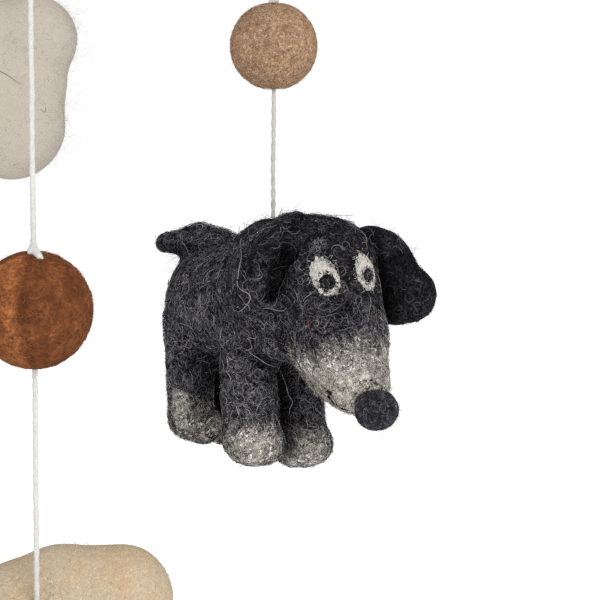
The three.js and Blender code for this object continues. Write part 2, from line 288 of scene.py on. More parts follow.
# The dog is measured from its nape. Each row is balls of wool, as place and radius; the recess is
# the hollow in front of the near ear
nape = np.array([0.0, 0.0, -104.0])
dogShape = {
    "torso": [(-15.2, 23, -27.5, 16.3), (-1.6, -2, -24.8, 16)],
    "withers": [(0.8, -2, -13.2, 12.9), (12.4, -16, -13.3, 13)],
    "legs": [
        [(-7.2, -7.5, -35.8, 7.6), (-5.9, -7.7, -62, 7.9), (-2.3, -7.7, -63.9, 6)],
        [(6, 3.7, -37.5, 6.8), (8.9, 3.7, -65.5, 6.9), (5.8, 3.7, -66.6, 5.8), (11.6, 3.7, -66.3, 5.7)],
        [(-24.4, 21, -36, 7.6), (-24.4, 22.7, -62, 6.5), (-20.7, 22.7, -64.2, 5.8)],
        [(-15, 29, -39.8, 7), (-15.6, 34.5, -66, 6.4)],
    ],
    "tail": [(-16, 26, -12, 5.6), (-22, 29, -10, 4.5), (-32.2, 29, -11.2, 2.8)],
    "crown": (8.6, -18, -6.2, 8),
    "cheek": [(1.2, -17.5, -24, 7.2), (3.2, -16.5, -33, 5.8)],
    "nearEar": [(4.6, -17.5, -6.4, 6.2), (-0.4, -18.5, -11.8, 7.2), (-3.9, -18.5, -18.8, 6)],
    "recess": [(7.4, -29, -5.4, 1.0), (4.8, -27.4, -7.9, 1.7), (2.5, -25.4, -11.1, 2.2),
               (0.9, -23.7, -14.8, 2.4), (-0.3, -21.8, -18.9, 2.2), (-1.6, -19.8, -22.6, 1.5)],
    "farEar": [(26.6, -13, -6.4, 5), (32.8, -11, -12.3, 6.1), (38, -10, -21, 7.1), (34.3, -10.5, -22.7, 5.8),
               (30.5, -12, -13.5, 5.6)],
    "earTop": (30.6, -12.4, -8.2, 5.6),
}
# The head's rows run forward, to the side and up from the skull, which is turned and leans
headShape = {
    "skull": (15.4, -19, -11.5), "yaw": 69.5, "lean": 6,
    "head": [(0, 0, 0, 13.2), (4, 0, -20, 12.4), (16.5, 0, -30.5, 8)],
    "jaw": [(4, -1.5, -24.5, 10.9), (9, -1.5, -28.5, 9), (14, -1, -31, 8)],
    "nose": [(27, -0.65, -36.4, 5.4), (27, 0.65, -36.4, 5.4)],
}
# How far the balls of a row melt into one another, and how far the row melts into the other wool
melt = {"torso": 1, "withers": 1, "legs": 1.5, "head": 4, "jaw": 2, "nose": 1, "cheek": 1, "nearEar": 4,
        "recess": 1, "farEar": 3, "tail": 2}
join = {"withers": 8, "legs": 5, "head": 4, "jaw": 3, "nose": 1.0, "crown": 4, "cheek": 5, "recess": 1.6,
        "farEar": 1.2, "earTop": 3, "tail": 6}
# The near ear melts in at its back and foot; only its front edge stands free
earFlap = {"middle": (0.3, -17.8, -12.6), "front": (0.825, 0, -0.566), "down": (-0.566, 0, -0.825),
           "back": (-1.5, 4), "foot": (5, 11), "footShare": 0.6, "free": 0.5, "melted": 9}
noseGap = 0.7

headYaw = math.radians(headShape["yaw"])
headLean = math.radians(headShape["lean"])
skull = np.array(headShape["skull"])
faceDir = np.array([math.cos(headYaw), -math.sin(headYaw), 0])
level = np.array([math.sin(headYaw), math.cos(headYaw), 0])
sideDir = level * math.cos(headLean) + np.array([0, 0, math.sin(headLean)])
headTurn = np.stack([faceDir, sideDir, np.cross(faceDir, sideDir)])


def onHead(forward, side, up):
    return skull + np.stack(np.broadcast_arrays(forward, side, up), -1) @ headTurn


def inHead(p):
    return (p - skull) @ headTurn.T


for name in ("head", "jaw", "nose"):
    dogShape[name] = [(*onHead(*row[:3]), row[3]) for row in headShape[name]]


def rowField(p, name):
    return chain(p, dogShape[name], melt[name])


def headField(p):
    return blend(rowField(p, "head"), rowField(p, "jaw"), join["jaw"])


def dogField(p):
    trunk = blend(rowField(p, "torso"), rowField(p, "withers"), join["withers"])
    legs = np.minimum.reduce([chain(p, leg, melt["legs"]) for leg in dogShape["legs"]])
    return blend(blend(trunk, legs, join["legs"]), headField(p), join["head"])


def woolField(p):
    wool = blend(dogField(p), ball(p, dogShape["crown"]), join["crown"])
    wool = blend(wool, rowField(p, "cheek"), join["cheek"])
    fromEar = p - earFlap["middle"]
    back = smooth(-fromEar @ earFlap["front"], *earFlap["back"])
    foot = smooth(fromEar @ earFlap["down"], *earFlap["foot"])
    width = earFlap["free"] + earFlap["melted"] * np.maximum(back, earFlap["footShare"] * foot)
    wool = blend(wool, rowField(p, "nearEar"), width)
    wool = -blend(-wool, rowField(p, "recess"), join["recess"])
    wool = blend(wool, rowField(p, "tail"), join["tail"])
    farEar = blend(rowField(p, "farEar"), ball(p, dogShape["earTop"]), join["earTop"])
    return blend(wool, farEar, join["farEar"])


def noseField(p):
    return -blend(-rowField(p, "nose"), woolField(p) + noseGap, join["nose"])


def wholeDog(p):
    return np.minimum(woolField(p), rowField(p, "nose"))


dogFelt = {"cell": 0.85, "room": 2.5, "lumps": [(5.5, 0.24), (2.2, 0.1)], "seed": 11}
noseFelt = {"cell": 0.5, "room": 2.5, "lumps": [(3, 0.2), (1.2, 0.1)], "seed": 15}
dogRows = [dogShape[name] for name in ("torso", "withers", "head", "nearEar", "farEar", "tail")]
dogBalls = [place for row in dogRows + dogShape["legs"] for place in row]
dogBody = addFelt("dog_wool", woolField, dogBalls, dogFelt, nape,
                  ["dog_body", "dog_near_ear", "dog_far_ear", "dog_tail"], "charcoal_wool")
dogNose = addFelt("dog_nose_wool", noseField, dogShape["nose"], noseFelt, nape, ["dog_nose"], "black_wool")
print("dog felted")


# Eyes: each white is a patch of wool with a ragged edge, and its pupil is a smaller patch on it.
# Sizes are half widths, and the pupil's place is measured from the white's middle
eyes = {
    "right": {"side": -5.6, "up": -0.9, "wide": 3.45, "high": 5.4, "turn": 12, "notch": 0.3,
              "pupilWide": 1.95, "pupilHigh": 2.15, "pupilSide": 0.36, "pupilUp": -1.5},
    "left": {"side": 6.15, "up": -1.4, "wide": 3.1, "high": 5.3, "turn": 14, "notch": 0.1,
             "pupilWide": 1.6, "pupilHigh": 1.85, "pupilSide": 0.1, "pupilUp": -0.95},
}
whitePatch = {"lift": 0.1, "thick": 0.5, "seed": 31}
pupilPatch = {"lift": 0.55, "thick": 0.4, "seed": 41, "turn": 0, "notch": 0}
# Rings go out from the middle by shares of the half width, and the last one is tucked under
patchRings = {"inner": np.linspace(0.04, 0.9, 11), "outer": (0.96, 0.99, 1.0), "tucked": 0.93, "sunk": 0.5,
              "roundness": 6, "spokes": 56}
patchEdge = {"ragged": ((0.9, 0.06), (0.2, 0.09)), "noiseRadius": 2, "noiseAt": 5, "notchAt": 38,
             "notchWide": 0.36}
pressOn = {"from": 20.0, "rounds": 60, "reach": 0.1}


def eyePatch(name, shape, nodes, slotName):
    spokes = patchRings["spokes"]
    spoke = np.arange(spokes) / spokes * 2 * math.pi
    turn = math.radians(shape["turn"])
    circle = np.column_stack([np.cos(spoke), np.sin(spoke), np.zeros(spokes)])
    circle = circle * patchEdge["noiseRadius"] + patchEdge["noiseAt"]
    edge = 1
    for number, (size, depth) in enumerate(patchEdge["ragged"]):
        edge = edge + depth * wander(circle, size, shape["seed"] + number)
    fromNotch = (spoke - math.radians(patchEdge["notchAt"])) / patchEdge["notchWide"]
    edge = edge - shape["notch"] * np.exp(-fromNotch ** 2)
    shares = [*patchRings["inner"], *patchRings["outer"]]
    domed = [(1 - share ** patchRings["roundness"]) ** 0.5 for share in shares]
    rises = [shape["lift"] + shape["thick"] * rise for rise in domed]
    rings = [*zip(shares, rises), (patchRings["tucked"], shape["lift"] - patchRings["sunk"])]
    points = []
    for share, rise in rings:
        a = shape["wide"] * share * edge * np.cos(spoke)
        b = shape["high"] * share * edge * np.sin(spoke)
        side = shape["side"] + a * math.cos(turn) - b * math.sin(turn)
        up = shape["up"] + a * math.sin(turn) + b * math.cos(turn)
        forward = np.full(spokes, pressOn["from"])
        for _ in range(pressOn["rounds"]):
            forward = forward - woolField(onHead(forward, side, up))
        foot = onHead(forward, side, up)
        points.append(foot + unit(slope(woolField, foot, pressOn["reach"])) * rise)
    faces = []
    for ring in range(len(points) - 1):
        near, far = ring * spokes, (ring + 1) * spokes
        for i in range(spokes):
            j = (i + 1) % spokes
            faces.append((near + i, far + i, far + j, near + j))
    flat = np.vstack([*points, points[0].mean(0), points[-1].mean(0)])
    top, under, last = len(flat) - 2, len(flat) - 1, (len(points) - 1) * spokes
    fans = [(top, i, (i + 1) % spokes) for i in range(spokes)]
    fans += [(under, last + (i + 1) % spokes, last + i) for i in range(spokes)]
    return addMesh(name, flat + nape, [faces, fans], nodes, slotName)


for number, (name, eye) in enumerate(eyes.items()):
    white = {**eye, **whitePatch, "seed": whitePatch["seed"] + 2 * number}
    pupil = {**pupilPatch, "seed": pupilPatch["seed"] + 2 * number,
             "wide": eye["pupilWide"], "high": eye["pupilHigh"],
             "side": eye["side"] + eye["pupilSide"], "up": eye["up"] + eye["pupilUp"]}
    eyePatch(f"dog_{name}_eye_white_wool", white, [f"dog_{name}_eye_white"], "eye_wool")
    eyePatch(f"dog_{name}_pupil_wool", pupil, [f"dog_{name}_pupil"], "black_wool")
print("eyes pressed on")


# Felt balls, with a dent at the top and foot where the cord goes through
ballDent = {"above": 1.2, "radius": 2.0, "soft": 1.6}
ballFelt = {"cell": 0.6, "room": 2.5, "lumps": [(9, 0.16), (3.4, 0.04), (1.4, 0.015)]}
ballRows = {
    "beige": {"at": (0.0, 0.0, -56.2), "radius": 12.2, "slot": "beige_wool", "seed": 50},
    "rust": {"at": (-57.0, -100.0, -116.6), "radius": 14.4, "slot": "rust_wool", "seed": 55},
}


def ballField(row):
    dent = np.array([0, 0, row["radius"] + ballDent["above"]])

    def field(p):
        q = p - row["at"]
        depth = row["radius"] - np.linalg.norm(q, axis=1)
        top = np.linalg.norm(q - dent, axis=1) - ballDent["radius"]
        low = np.linalg.norm(q + dent, axis=1) - ballDent["radius"]
        return -blend(depth, np.minimum(top, low), ballDent["soft"])
    return field


ballPieces = {}
for name, row in ballRows.items():
    ballPieces[name] = addFelt(f"{name}_ball_wool", ballField(row), [(*row["at"], row["radius"])],
                               {**ballFelt, "seed": row["seed"]}, 0, [f"{name}_ball"], row["slot"])

# The pale body's lobes are (across, up, radius) from its cord's end; it is flatter than it is wide
paleShape = {
    "at": np.array([-83.5, 10.0, -43.5]), "flatness": 0.66, "soft": 4,
    "lobes": [(0, -12.8, 12.5), (15.1, -11.1, 12.6), (8.8, -35.9, 15.2), (-15.6, -12, 12.2),
              (-9.8, -36.5, 14.6), (0, -25, 16), (12.8, -24, 11.6), (-14, -24.5, 11.2)],
}
# The cream body has a low front and a raised back
creamShape = {
    "at": np.array([-57.0, -100.0, -191.5]), "join": 5,
    "back": [(-9.3, 16, -8.8, 15.6), (4.8, 16, -2.2, 14.1), (19.5, 16, -1.1, 13.3)], "backMelt": 2,
    "front": [(-13, -1, -16.5, 15.5), (13, -1, -15.2, 15)], "frontMelt": 1,
}
bodyFelt = {"cell": 1.1, "room": 2.5, "lumps": [(11, 0.4), (4, 0.05)]}


def paleField(p):
    q = (p - paleShape["at"]) / (1, paleShape["flatness"], 1)
    total = None
    for x, z, radius in paleShape["lobes"]:
        lobe = ball(q, (x, 0, z, radius))
        total = lobe if total is None else blend(total, lobe, paleShape["soft"])
    return paleShape["flatness"] * total


def creamField(p):
    q = p - creamShape["at"]
    back = chain(q, creamShape["back"], creamShape["backMelt"])
    return blend(back, chain(q, creamShape["front"], creamShape["frontMelt"]), creamShape["join"])


def movedTo(at, balls):
    return [(*(at + row[:3]), row[3]) for row in balls]


paleBalls = movedTo(paleShape["at"], [(x, 0, z, radius) for x, z, radius in paleShape["lobes"]])
creamBalls = movedTo(creamShape["at"], creamShape["back"] + creamShape["front"])
paleFelt, creamFelt = {**bodyFelt, "seed": 61}, {**bodyFelt, "seed": 66}
palePiece = addFelt("pale_body_wool", paleField, paleBalls, paleFelt, 0, ["pale_body"], "pale_wool")
creamPiece = addFelt("cream_body_wool", creamField, creamBalls, creamFelt, 0, ["cream_body"], "cream_wool")
print("balls and bodies felted")


# Cords: two plies that turn about one another; their roughness is (size, depth)
cordDiameter = 1.3
ply = {"radius": 0.46, "apart": 0.19, "pitch": 6.6, "sides": 20, "cap": 0.25,
       "rough": ((0.7, 0.07), (0.35, 0.05))}
softPly = {**ply, "radius": 0.6, "apart": 0.1, "pitch": 9.0}
cordAcross = (0.31, 0.92, 0.24)  # no cord runs this way, so it serves as a first sideways direction


def carrySideways(ahead):
    normal = unit(np.cross(ahead[0], cordAcross))
    normals = []
    for direction in ahead:
        normal = unit(normal - direction * (normal @ direction))
        normals.append(normal)
    return np.array(normals)


def cordMesh(path, closed, seed, twist=ply):
    path = np.asarray(path)
    count, sides = len(path), twist["sides"]
    ahead = np.roll(path, -1, 0) - np.roll(path, 1, 0)
    if not closed:
        ahead[0], ahead[-1] = path[1] - path[0], path[-1] - path[-2]
    ahead = unit(ahead)
    along = np.concatenate([[0], np.cumsum(np.linalg.norm(np.diff(path, axis=0), axis=1))])
    normals = carrySideways(ahead)
    phase = along / twist["pitch"] * 2 * math.pi
    if closed:
        gap = math.atan2(np.cross(normals[-1], normals[0]) @ ahead[0], normals[-1] @ normals[0])
        length = along[-1] + np.linalg.norm(path[0] - path[-1])
        turns = max(1, round(length / twist["pitch"] * 2)) * math.pi
        phase = along / length * (turns + gap)
    binormals = np.cross(ahead, normals)
    spoke = np.arange(sides) / sides * 2 * math.pi
    offset = twist["apart"] * np.sin(spoke)
    wave = twist["apart"] * np.abs(np.cos(spoke)) + np.sqrt(twist["radius"] ** 2 - offset ** 2)
    angle = spoke[None] + phase[:, None]
    points = path[:, None] + wave[None, :, None] * (
        np.cos(angle)[..., None] * normals[:, None] + np.sin(angle)[..., None] * binormals[:, None])
    outward = unit(points - path[:, None])
    flat = points.reshape(-1, 3)
    rough = 0
    for number, (size, depth) in enumerate(twist["rough"]):
        rough = rough + depth * wander(flat, size, seed + number)
    flat = flat + outward.reshape(-1, 3) * rough[:, None]
    row = np.arange(count if closed else count - 1)[:, None] * sides
    nextRow = (row + sides) % (count * sides)
    side = np.arange(sides)[None]
    nextSide = (side + 1) % sides
    quads = np.stack([row + side, row + nextSide, nextRow + nextSide, nextRow + side], -1).reshape(-1, 4)
    if closed:
        return flat, quads
    first, last, end = len(flat), len(flat) + 1, (count - 1) * sides
    flat = np.vstack([flat, path[0] - ahead[0] * twist["cap"], path[-1] + ahead[-1] * twist["cap"]])
    caps = []
    for k in range(0, sides, 2):
        middle, after = (k + 1) % sides, (k + 2) % sides
        caps.append((first, after, middle, k))
        caps.append((last, end + k, end + middle, end + after))
    return flat, np.vstack([quads, caps])


def joined(parts):
    points, faces, start = [], [], 0
    for part, quads in parts:
        points.append(part)
        faces.append(np.asarray(quads) + start)
        start += len(part)
    return np.vstack(points), [np.vstack(faces)]


# The hanging loop, and below it a knot that is drawn as a trefoil
loopShape = {"radius": 4.2, "points": 80, "narrow": 0.12, "sway": 0.25}
loopKnot = {"up": -10.4, "scale": 0.42, "points": 72, "deep": 1.2}


def knotPath(at):
    t = np.arange(loopKnot["points"]) / loopKnot["points"] * 2 * math.pi
    x = np.sin(t) + 2 * np.sin(2 * t)
    y = np.cos(t) - 2 * np.cos(2 * t)
    return np.array(at) + np.column_stack([x, y, -loopKnot["deep"] * np.sin(3 * t)]) * loopKnot["scale"]


def loopPath(at):
    radius = loopShape["radius"]
    t = np.linspace(0, 2 * math.pi, loopShape["points"], endpoint=False)
    wide = 1 - loopShape["narrow"] * np.maximum(-np.cos(t), 0)
    z = radius * np.cos(t) - radius - cordDiameter / 2
    return np.array(at) + np.column_stack([radius * wide * np.sin(t), loopShape["sway"] * np.sin(2 * t), z])


# Stitches over a ball's top: every row runs from the cord, past the middle point, to its end on the wool
stitchFelt = {"cell": 0.3, "room": 1.0, "lumps": [(1.2, 0.12), (0.6, 0.08)], "melt": 0.5}
stitchSizes = (0.62, 0.55, 0.38)
stitches = {
    "beige": {"up": -44.0, "join": 0.8, "rows": [
        ((-0.1, -0.2, 1.2), (-0.7, -0.9, 0.5), (-1.1, -1.9, 0.1)),
        ((0.1, -0.2, 1.2), (0.7, -0.9, 0.5), (1.1, -1.9, 0.1)),
        ((0, -0.4, 1.1), (0.1, -1.2, 0.5), (0, -2.4, 0.1)),
    ]},
    "rust": {"up": -102.2, "join": 1.3, "rows": [
        ((0.1, -0.2, 1.0), (1.2, -2.9, 0.15), (2.8, -5.9, -0.95)),
        ((-0.1, -0.2, 1.0), (-0.6, -1.6, 0.35), (-0.8, -3, 0)),
        ((0.1, -0.5, 0.9), (0.5, -2.6, 0.15), (1.6, -5.2, -0.7)),
    ]},
}


def addStitches(ballName, foot, seed):
    stitch = stitches[ballName]
    middle = foot + (0, 0, stitch["up"])
    rows = [[(*(middle + point), size) for point, size in zip(row, stitchSizes)] for row in stitch["rows"]]

    def field(p):
        total = chain(p, rows[0], stitchFelt["melt"])
        for row in rows[1:]:
            total = blend(total, chain(p, row, stitchFelt["melt"]), stitch["join"])
        return total

    made = addFelt(f"{ballName}_knot_cotton", field, [point for row in rows for point in row],
                   {**stitchFelt, "seed": seed}, 0, [f"{ballName}_ball_knot"], "cotton_cord")
    return made["object"]


strands = {
    "dog": {"x": 0.0, "y": 0.0, "bottom": -104.1, "ball": "beige", "ply": ply, "white": 0.0, "seed": 71},
    "rust": {"x": -57.0, "y": -100.0, "bottom": -190.5, "ball": "rust", "ply": softPly, "white": 1.0,
             "seed": 81},
    "pale": {"x": -83.5, "y": 10.0, "bottom": -43.4, "ball": None, "ply": ply, "white": 0.0, "seed": 91},
}
cordRun = {"top": -11.9, "sunk": 0.3, "step": 0.4, "sway": 0.08, "swaySize": 9}
for name, row in strands.items():
    foot = np.array([row["x"], row["y"], 0.0])
    heights = np.arange(row["bottom"] - cordRun["sunk"], cordRun["top"], cordRun["step"])
    sway = np.column_stack([heights * 0, heights * 0, heights])
    for axis in (0, 1):
        sway[:, axis] = cordRun["sway"] * wander(sway, cordRun["swaySize"], row["seed"] + 3 + axis)
    path = foot + sway
    points, faces = cordMesh(path, False, row["seed"], row["ply"])
    cord = addMesh(f"{name}_cord_cotton", points, [faces], [f"{name}_cord"], "cotton_cord")
    loopParts = [cordMesh(loopPath(foot), True, row["seed"] + 5),
                 cordMesh(knotPath(foot + (0, 0, loopKnot["up"])), True, row["seed"] + 6)]
    carried = [addMesh(f"{name}_loop_cotton", *joined(loopParts), [f"{name}_cord_loop"], "cotton_cord")]
    if row["ball"]:
        carried.append(addStitches(row["ball"], foot, row["seed"] + 7))
    for piece in (cord, *carried):
        paint(piece, "patch", np.full(len(piece.data.vertices), row["white"]))
    list(path[0] * mm)
    (path * mm).tolist()
print("cords twisted and knotted")


# Loose fibres are thin three-sided hairs that lie on the wool or stand out of it
def scatter(felt, count, rng):
    points, faces = felt["points"], felt["faces"]
    halves = np.vstack([faces[:, [0, 1, 2]], faces[:, [0, 2, 3]]])
    a, b, c = (points[halves[:, k]] for k in range(3))
    area = np.linalg.norm(np.cross(b - a, c - a), axis=1)
    pick = rng.choice(len(halves), count, p=area / area.sum())
    u, v = rng.random(count), rng.random(count)
    fold = u + v > 1
    u, v = np.where(fold, 1 - u, u)[:, None], np.where(fold, 1 - v, v)[:, None]
    return a[pick] + u * (b - a)[pick] + v * (c - a)[pick]


# What a fibre may do in one step: sink or climb by so much, and turn by so many radians. A standing
# one rises by this power of its length
fibreStep = {"climb": 0.6, "turn": 1.2, "lift": 1.5}


def growFibres(field, roots, setting, rng):
    count, steps = len(roots), setting["steps"]
    length = rng.uniform(*setting["length"], count)
    height = setting["height"] * rng.random(count) ** 2
    bend = rng.normal(0, setting["curl"], count)
    heading = rng.normal(size=(count, 3))
    spot = roots
    lines = []
    for step in range(steps + 1):
        normal = unit(slope(field, spot))
        share = step / steps
        arc = math.sin(math.pi * share) if setting["lies"] else share ** fibreStep["lift"]
        rise = setting["start"] + height * arc
        climb = np.clip(rise - field(spot), -fibreStep["climb"], fibreStep["climb"] + height)
        spot = spot + normal * climb[:, None]
        lines.append(spot)
        heading = unit(heading - normal * (heading * normal).sum(1)[:, None])
        bend = bend + rng.normal(0, setting["change"], count)
        angle = np.clip(bend * length / steps, -fibreStep["turn"], fibreStep["turn"])[:, None]
        heading = heading * np.cos(angle) + np.cross(normal, heading) * np.sin(angle)
        spot = spot + heading * (length / steps)[:, None]
    return np.stack(lines, 1)


fibreAcross = (0.37, 0.61, 0.7)  # a hair's sideways direction is square to this and to the hair
fibreTip = {"thin": 0.3, "swell": 0.6}  # share of the radius at the ends, and how soon it swells


def fibreMesh(lines, radius):
    count, knots = lines.shape[:2]
    ahead = unit(np.gradient(lines, axis=1))
    across = unit(np.cross(ahead, np.array(fibreAcross)))
    third = np.cross(ahead, across)
    swell = np.sin(np.linspace(0, math.pi, knots)) ** fibreTip["swell"]
    reach = np.asarray(radius)[:, None] * (fibreTip["thin"] + (1 - fibreTip["thin"]) * swell)
    turn = np.arange(3) * 2 * math.pi / 3
    cosines, sines = np.cos(turn)[None, None, :, None], np.sin(turn)[None, None, :, None]
    ring = across[:, :, None] * cosines + third[:, :, None] * sines
    points = (lines[:, :, None] + ring * reach[:, :, None, None]).reshape(-1, 3)
    first = (np.arange(count) * knots * 3)[:, None, None] + (np.arange(knots - 1) * 3)[None, :, None]
    side = np.arange(3)[None, None]
    nextSide = (side + 1) % 3
    quads = np.stack([first + side, first + nextSide, first + 3 + nextSide, first + 3 + side], -1)
    root = np.arange(count) * knots * 3
    tip = root + (knots - 1) * 3
    caps = np.vstack([np.stack([root + 2, root + 1, root], 1), np.stack([tip, tip + 1, tip + 2], 1)])
    return points, [quads.reshape(-1, 4), caps]


def addFibres(name, field, roots, setting, tints, seed, offset, slotName):
    rng = np.random.default_rng(seed)
    lines = growFibres(field, roots, setting, rng)
    radius = rng.uniform(*setting["radius"], len(roots))
    points, faces = fibreMesh(lines, radius)
    made = addMesh(name, points + offset, faces, (), slotName)
    paint(made, "tint", np.repeat(tints, lines.shape[1] * 3, axis=0))


# Colours are given as the photo shows them, from 0 to 255, and the lamps brighten them by this gain
studioGain = 1.9


def linear(red, green, blue):
    share = np.array([red, green, blue]) / 255
    return np.where(share > 0.04045, ((share + 0.055) / 1.055) ** 2.4, share / 12.92) / studioGain


tintSpread = (0.8, 1.2)  # how much darker or brighter one hair may be than its colour


# Each row is how common a colour is, and then the colour
def pickTints(rows, count, rng):
    weights = np.array([row[0] for row in rows], float)
    colours = np.array([linear(*row[1:]) for row in rows])
    chosen = rng.choice(len(rows), count, p=weights / weights.sum())
    return colours[chosen] * rng.uniform(*tintSpread, (count, 1))


# Share of light wool in the dog's muzzle, paws and patches
muzzle = {"line": -19.4, "bow": 0.018, "ragged": 1.6, "raggedSize": 2.4, "seed": 301, "soft": (-4.5, 7.5),
          "front": (-9, -4), "skin": 0.9, "noseGap": 0.6}
# The first two patches sit in front of the fore paws, so the paws' sides stay dark, partly as painted shade
# and partly as dark wool
palePatches = [
    {"at": (-5.4, -12.2, -63.8), "reach": (8.2, 8, 6.8), "soft": 0.6, "share": 0.84},
    {"at": (8.8, -1.5, -67), "reach": (8, 7.6, 6.6), "soft": 0.7, "share": 0.75},
    {"at": (-27.6, 15.9, -57), "reach": (3.2, 3.6, 4.2), "soft": 0.4, "share": 1.0},
    {"at": (-26.9, 15.8, -62.4), "reach": (2.6, 3.2, 2.9), "soft": 0.4, "share": 1.0},
    {"at": (-22, 17, -63), "reach": (9, 7, 7.5), "soft": 0.8, "share": 0.35},
    {"at": (-17.2, 18.1, -63.2), "reach": (3.2, 4.5, 4.4), "soft": 0.6, "share": 0.6},
    {"at": (-15.6, 30, -67), "reach": (7, 8, 5.5), "soft": 0.6, "share": 0.6},
]
patchRagged = {"depth": 0.12, "size": 1.8, "seed": 311}


def lightShare(p):
    q = inHead(p)
    edge = muzzle["line"] - muzzle["bow"] * q[:, 1] ** 2 - q[:, 2]
    edge = edge + muzzle["ragged"] * wander(p, muzzle["raggedSize"], muzzle["seed"])
    onFace = (headField(p) < woolField(p) + muzzle["skin"]) * smooth(q[:, 0], *muzzle["front"])
    share = smooth(edge, *muzzle["soft"]) * onFace * (rowField(p, "nose") > muzzle["noseGap"])
    ragged = patchRagged["depth"] * wander(p, patchRagged["size"], patchRagged["seed"])
    for row in palePatches:
        far = np.linalg.norm((p - row["at"]) / row["reach"], axis=1) + ragged
        share = np.maximum(share, row["share"] * smooth(1 - far, -row["soft"] / 2, row["soft"]))
    return share


# Painted shade: how open to the light the wool lies, darker in narrow places, under the belly and deep in the
# face
shade = {"reaches": (1.5, 3, 6, 10), "least": 0.12, "gain": 1.05, "power": 2.6,
         "bellyAt": (-19.6, 17, -48), "bellyReach": (5.6, 9, 9), "belly": 0.6,
         "faceForward": (-8, 3), "faceUp": (-20, -8), "face": 0.3}


def openShare(p):
    outward = unit(slope(woolField, p))
    seen = [np.clip(woolField(p + outward * reach) / reach, 0, 1) for reach in shade["reaches"]]
    seen = np.clip(np.mean(seen, 0) * shade["gain"], 0, 1) ** shade["power"]
    # painted shadow under the belly and between the hind legs
    belly = np.exp(-(((p - shade["bellyAt"]) / shade["bellyReach"]) ** 2).sum(1))
    q = inHead(p)
    # Deep in the face the darkening is partly painted shade and partly darker wool
    face = smooth(q[:, 0], *shade["faceForward"]) * smooth(q[:, 2], *shade["faceUp"])
    light = shade["least"] + (1 - shade["least"]) * seen
    return light * (1 - shade["belly"] * belly) * (1 - shade["face"] * face)


# Share of the lying hairs that stay: more low on the dog and at its rear, fewer on the far ear
hairRow = {"least": 0.4, "low": (9, 24), "rear": (2, 14), "rearShare": 0.8, "ear": 0.3, "earGap": 0.8,
           "noseGap": 0.4}


def hairShare(p):
    ear = np.minimum(rowField(p, "farEar"), rowField(p, "nose") + hairRow["noseGap"]) < hairRow["earGap"]
    low = hairRow["least"] + (1 - hairRow["least"]) * smooth(-p[:, 2], *hairRow["low"])
    rear = smooth(-p[:, 0], *hairRow["rear"]) * hairRow["rearShare"]
    return np.maximum(low, rear) * np.where(ear, hairRow["ear"], 1.0)


# The dog's wool keeps its light wool, its painted shade and its hair share as point values
for name, share in {"lightShare": lightShare, "openShare": openShare, "hairShare": hairShare}.items():
    paint(dogBody["object"], name, share(dogBody["points"]))
paint(dogNose["object"], "patch", np.ones(len(dogNose["points"])))


# How far out from an eye's middle each point lies, as a share of the white or of the pupil
def whiteShell(eye, side, up):
    angle = math.radians(eye["turn"])
    a = side * math.cos(angle) + up * math.sin(angle)
    b = up * math.cos(angle) - side * math.sin(angle)
    return np.sqrt((a / eye["wide"]) ** 2 + (b / eye["high"]) ** 2)


def pupilShell(eye, side, up):
    a = (side - eye["pupilSide"]) / eye["pupilWide"]
    b = (up - eye["pupilUp"]) / eye["pupilHigh"]
    return np.sqrt(a * a + b * b)


eyeFront = 3  # the eyes lie further forward than this from the skull
farAway = 9.0


def eyeReach(p, shell=whiteShell):
    q = inHead(p)
    reach = np.full(len(p), farAway)
    for eye in eyes.values():
        near = np.minimum(reach, shell(eye, q[:, 1] - eye["side"], q[:, 2] - eye["up"]))
        reach = np.where(q[:, 0] > eyeFront, near, reach)
    return reach


raised = {"white": 0.6, "whiteEdge": (1.03, 0.14), "pupil": 0.38, "pupilEdge": (1.05, 0.2)}


# The dog's surface with its eye patches on
def raisedFace(p):
    whiteEdge, whiteSoft = raised["whiteEdge"]
    pupilEdge, pupilSoft = raised["pupilEdge"]
    white = raised["white"] * smooth(whiteEdge - eyeReach(p), 0, whiteSoft)
    return wholeDog(p) - white - raised["pupil"] * smooth(pupilEdge - eyeReach(p, pupilShell), 0, pupilSoft)


# Fibres on the dog: "lies" keeps both ends down; each tint is how common it is, and its colour
lightTints = [(1, 90, 86, 80), (3, 244, 238, 224), (2, 214, 206, 190)]
fibreRows = {
    "long": {
        "count": 2600, "steps": 8, "length": (3, 9), "height": 0.5, "curl": 0.36, "change": 0.3,
        "start": 0.08, "radius": (0.06, 0.09), "lies": True, "seed": 401, "light": lightTints,
        "dark": [(2, 16, 15, 18), (3, 124, 123, 127), (5, 170, 169, 171), (2, 218, 216, 215)],
    },
    "short": {
        "count": 6400, "steps": 3, "length": (1.2, 3.6), "height": 0.4, "curl": 0.7, "change": 0.6,
        "start": 0.04, "radius": (0.055, 0.085), "lies": True, "seed": 402, "light": lightTints,
        "dark": [(4, 14, 13, 16), (3, 124, 123, 127), (3, 168, 167, 169), (1, 215, 213, 212)],
    },
    "wisp": {
        "count": 6200, "steps": 3, "length": (1.0, 2.8), "height": 0.5, "curl": 0.9, "change": 0.8,
        "start": 0.06, "radius": (0.05, 0.075), "lies": True, "seed": 405,
        "light": [(3, 60, 57, 54), (4, 246, 240, 226)],
        "dark": [(4, 14, 13, 16), (3, 140, 139, 143), (2, 190, 189, 190)],
    },
    "fuzz": {
        "count": 4200, "steps": 4, "length": (1.6, 5.5), "height": 2.6, "curl": 0.6, "change": 0.7,
        "start": -0.1, "radius": (0.03, 0.05), "lies": False, "seed": 403,
        "light": [(2, 150, 145, 138), (3, 200, 194, 180)], "dark": [(4, 40, 39, 43), (3, 110, 109, 112)],
    },
    "halo": {
        "count": 480, "steps": 8, "length": (4, 10), "height": 4.5, "curl": 0.3, "change": 0.3,
        "start": -0.1, "radius": (0.036, 0.055), "lies": False, "seed": 407,
        "light": [(1, 200, 194, 180)], "dark": [(3, 50, 49, 53), (3, 110, 109, 112)],
    },
}
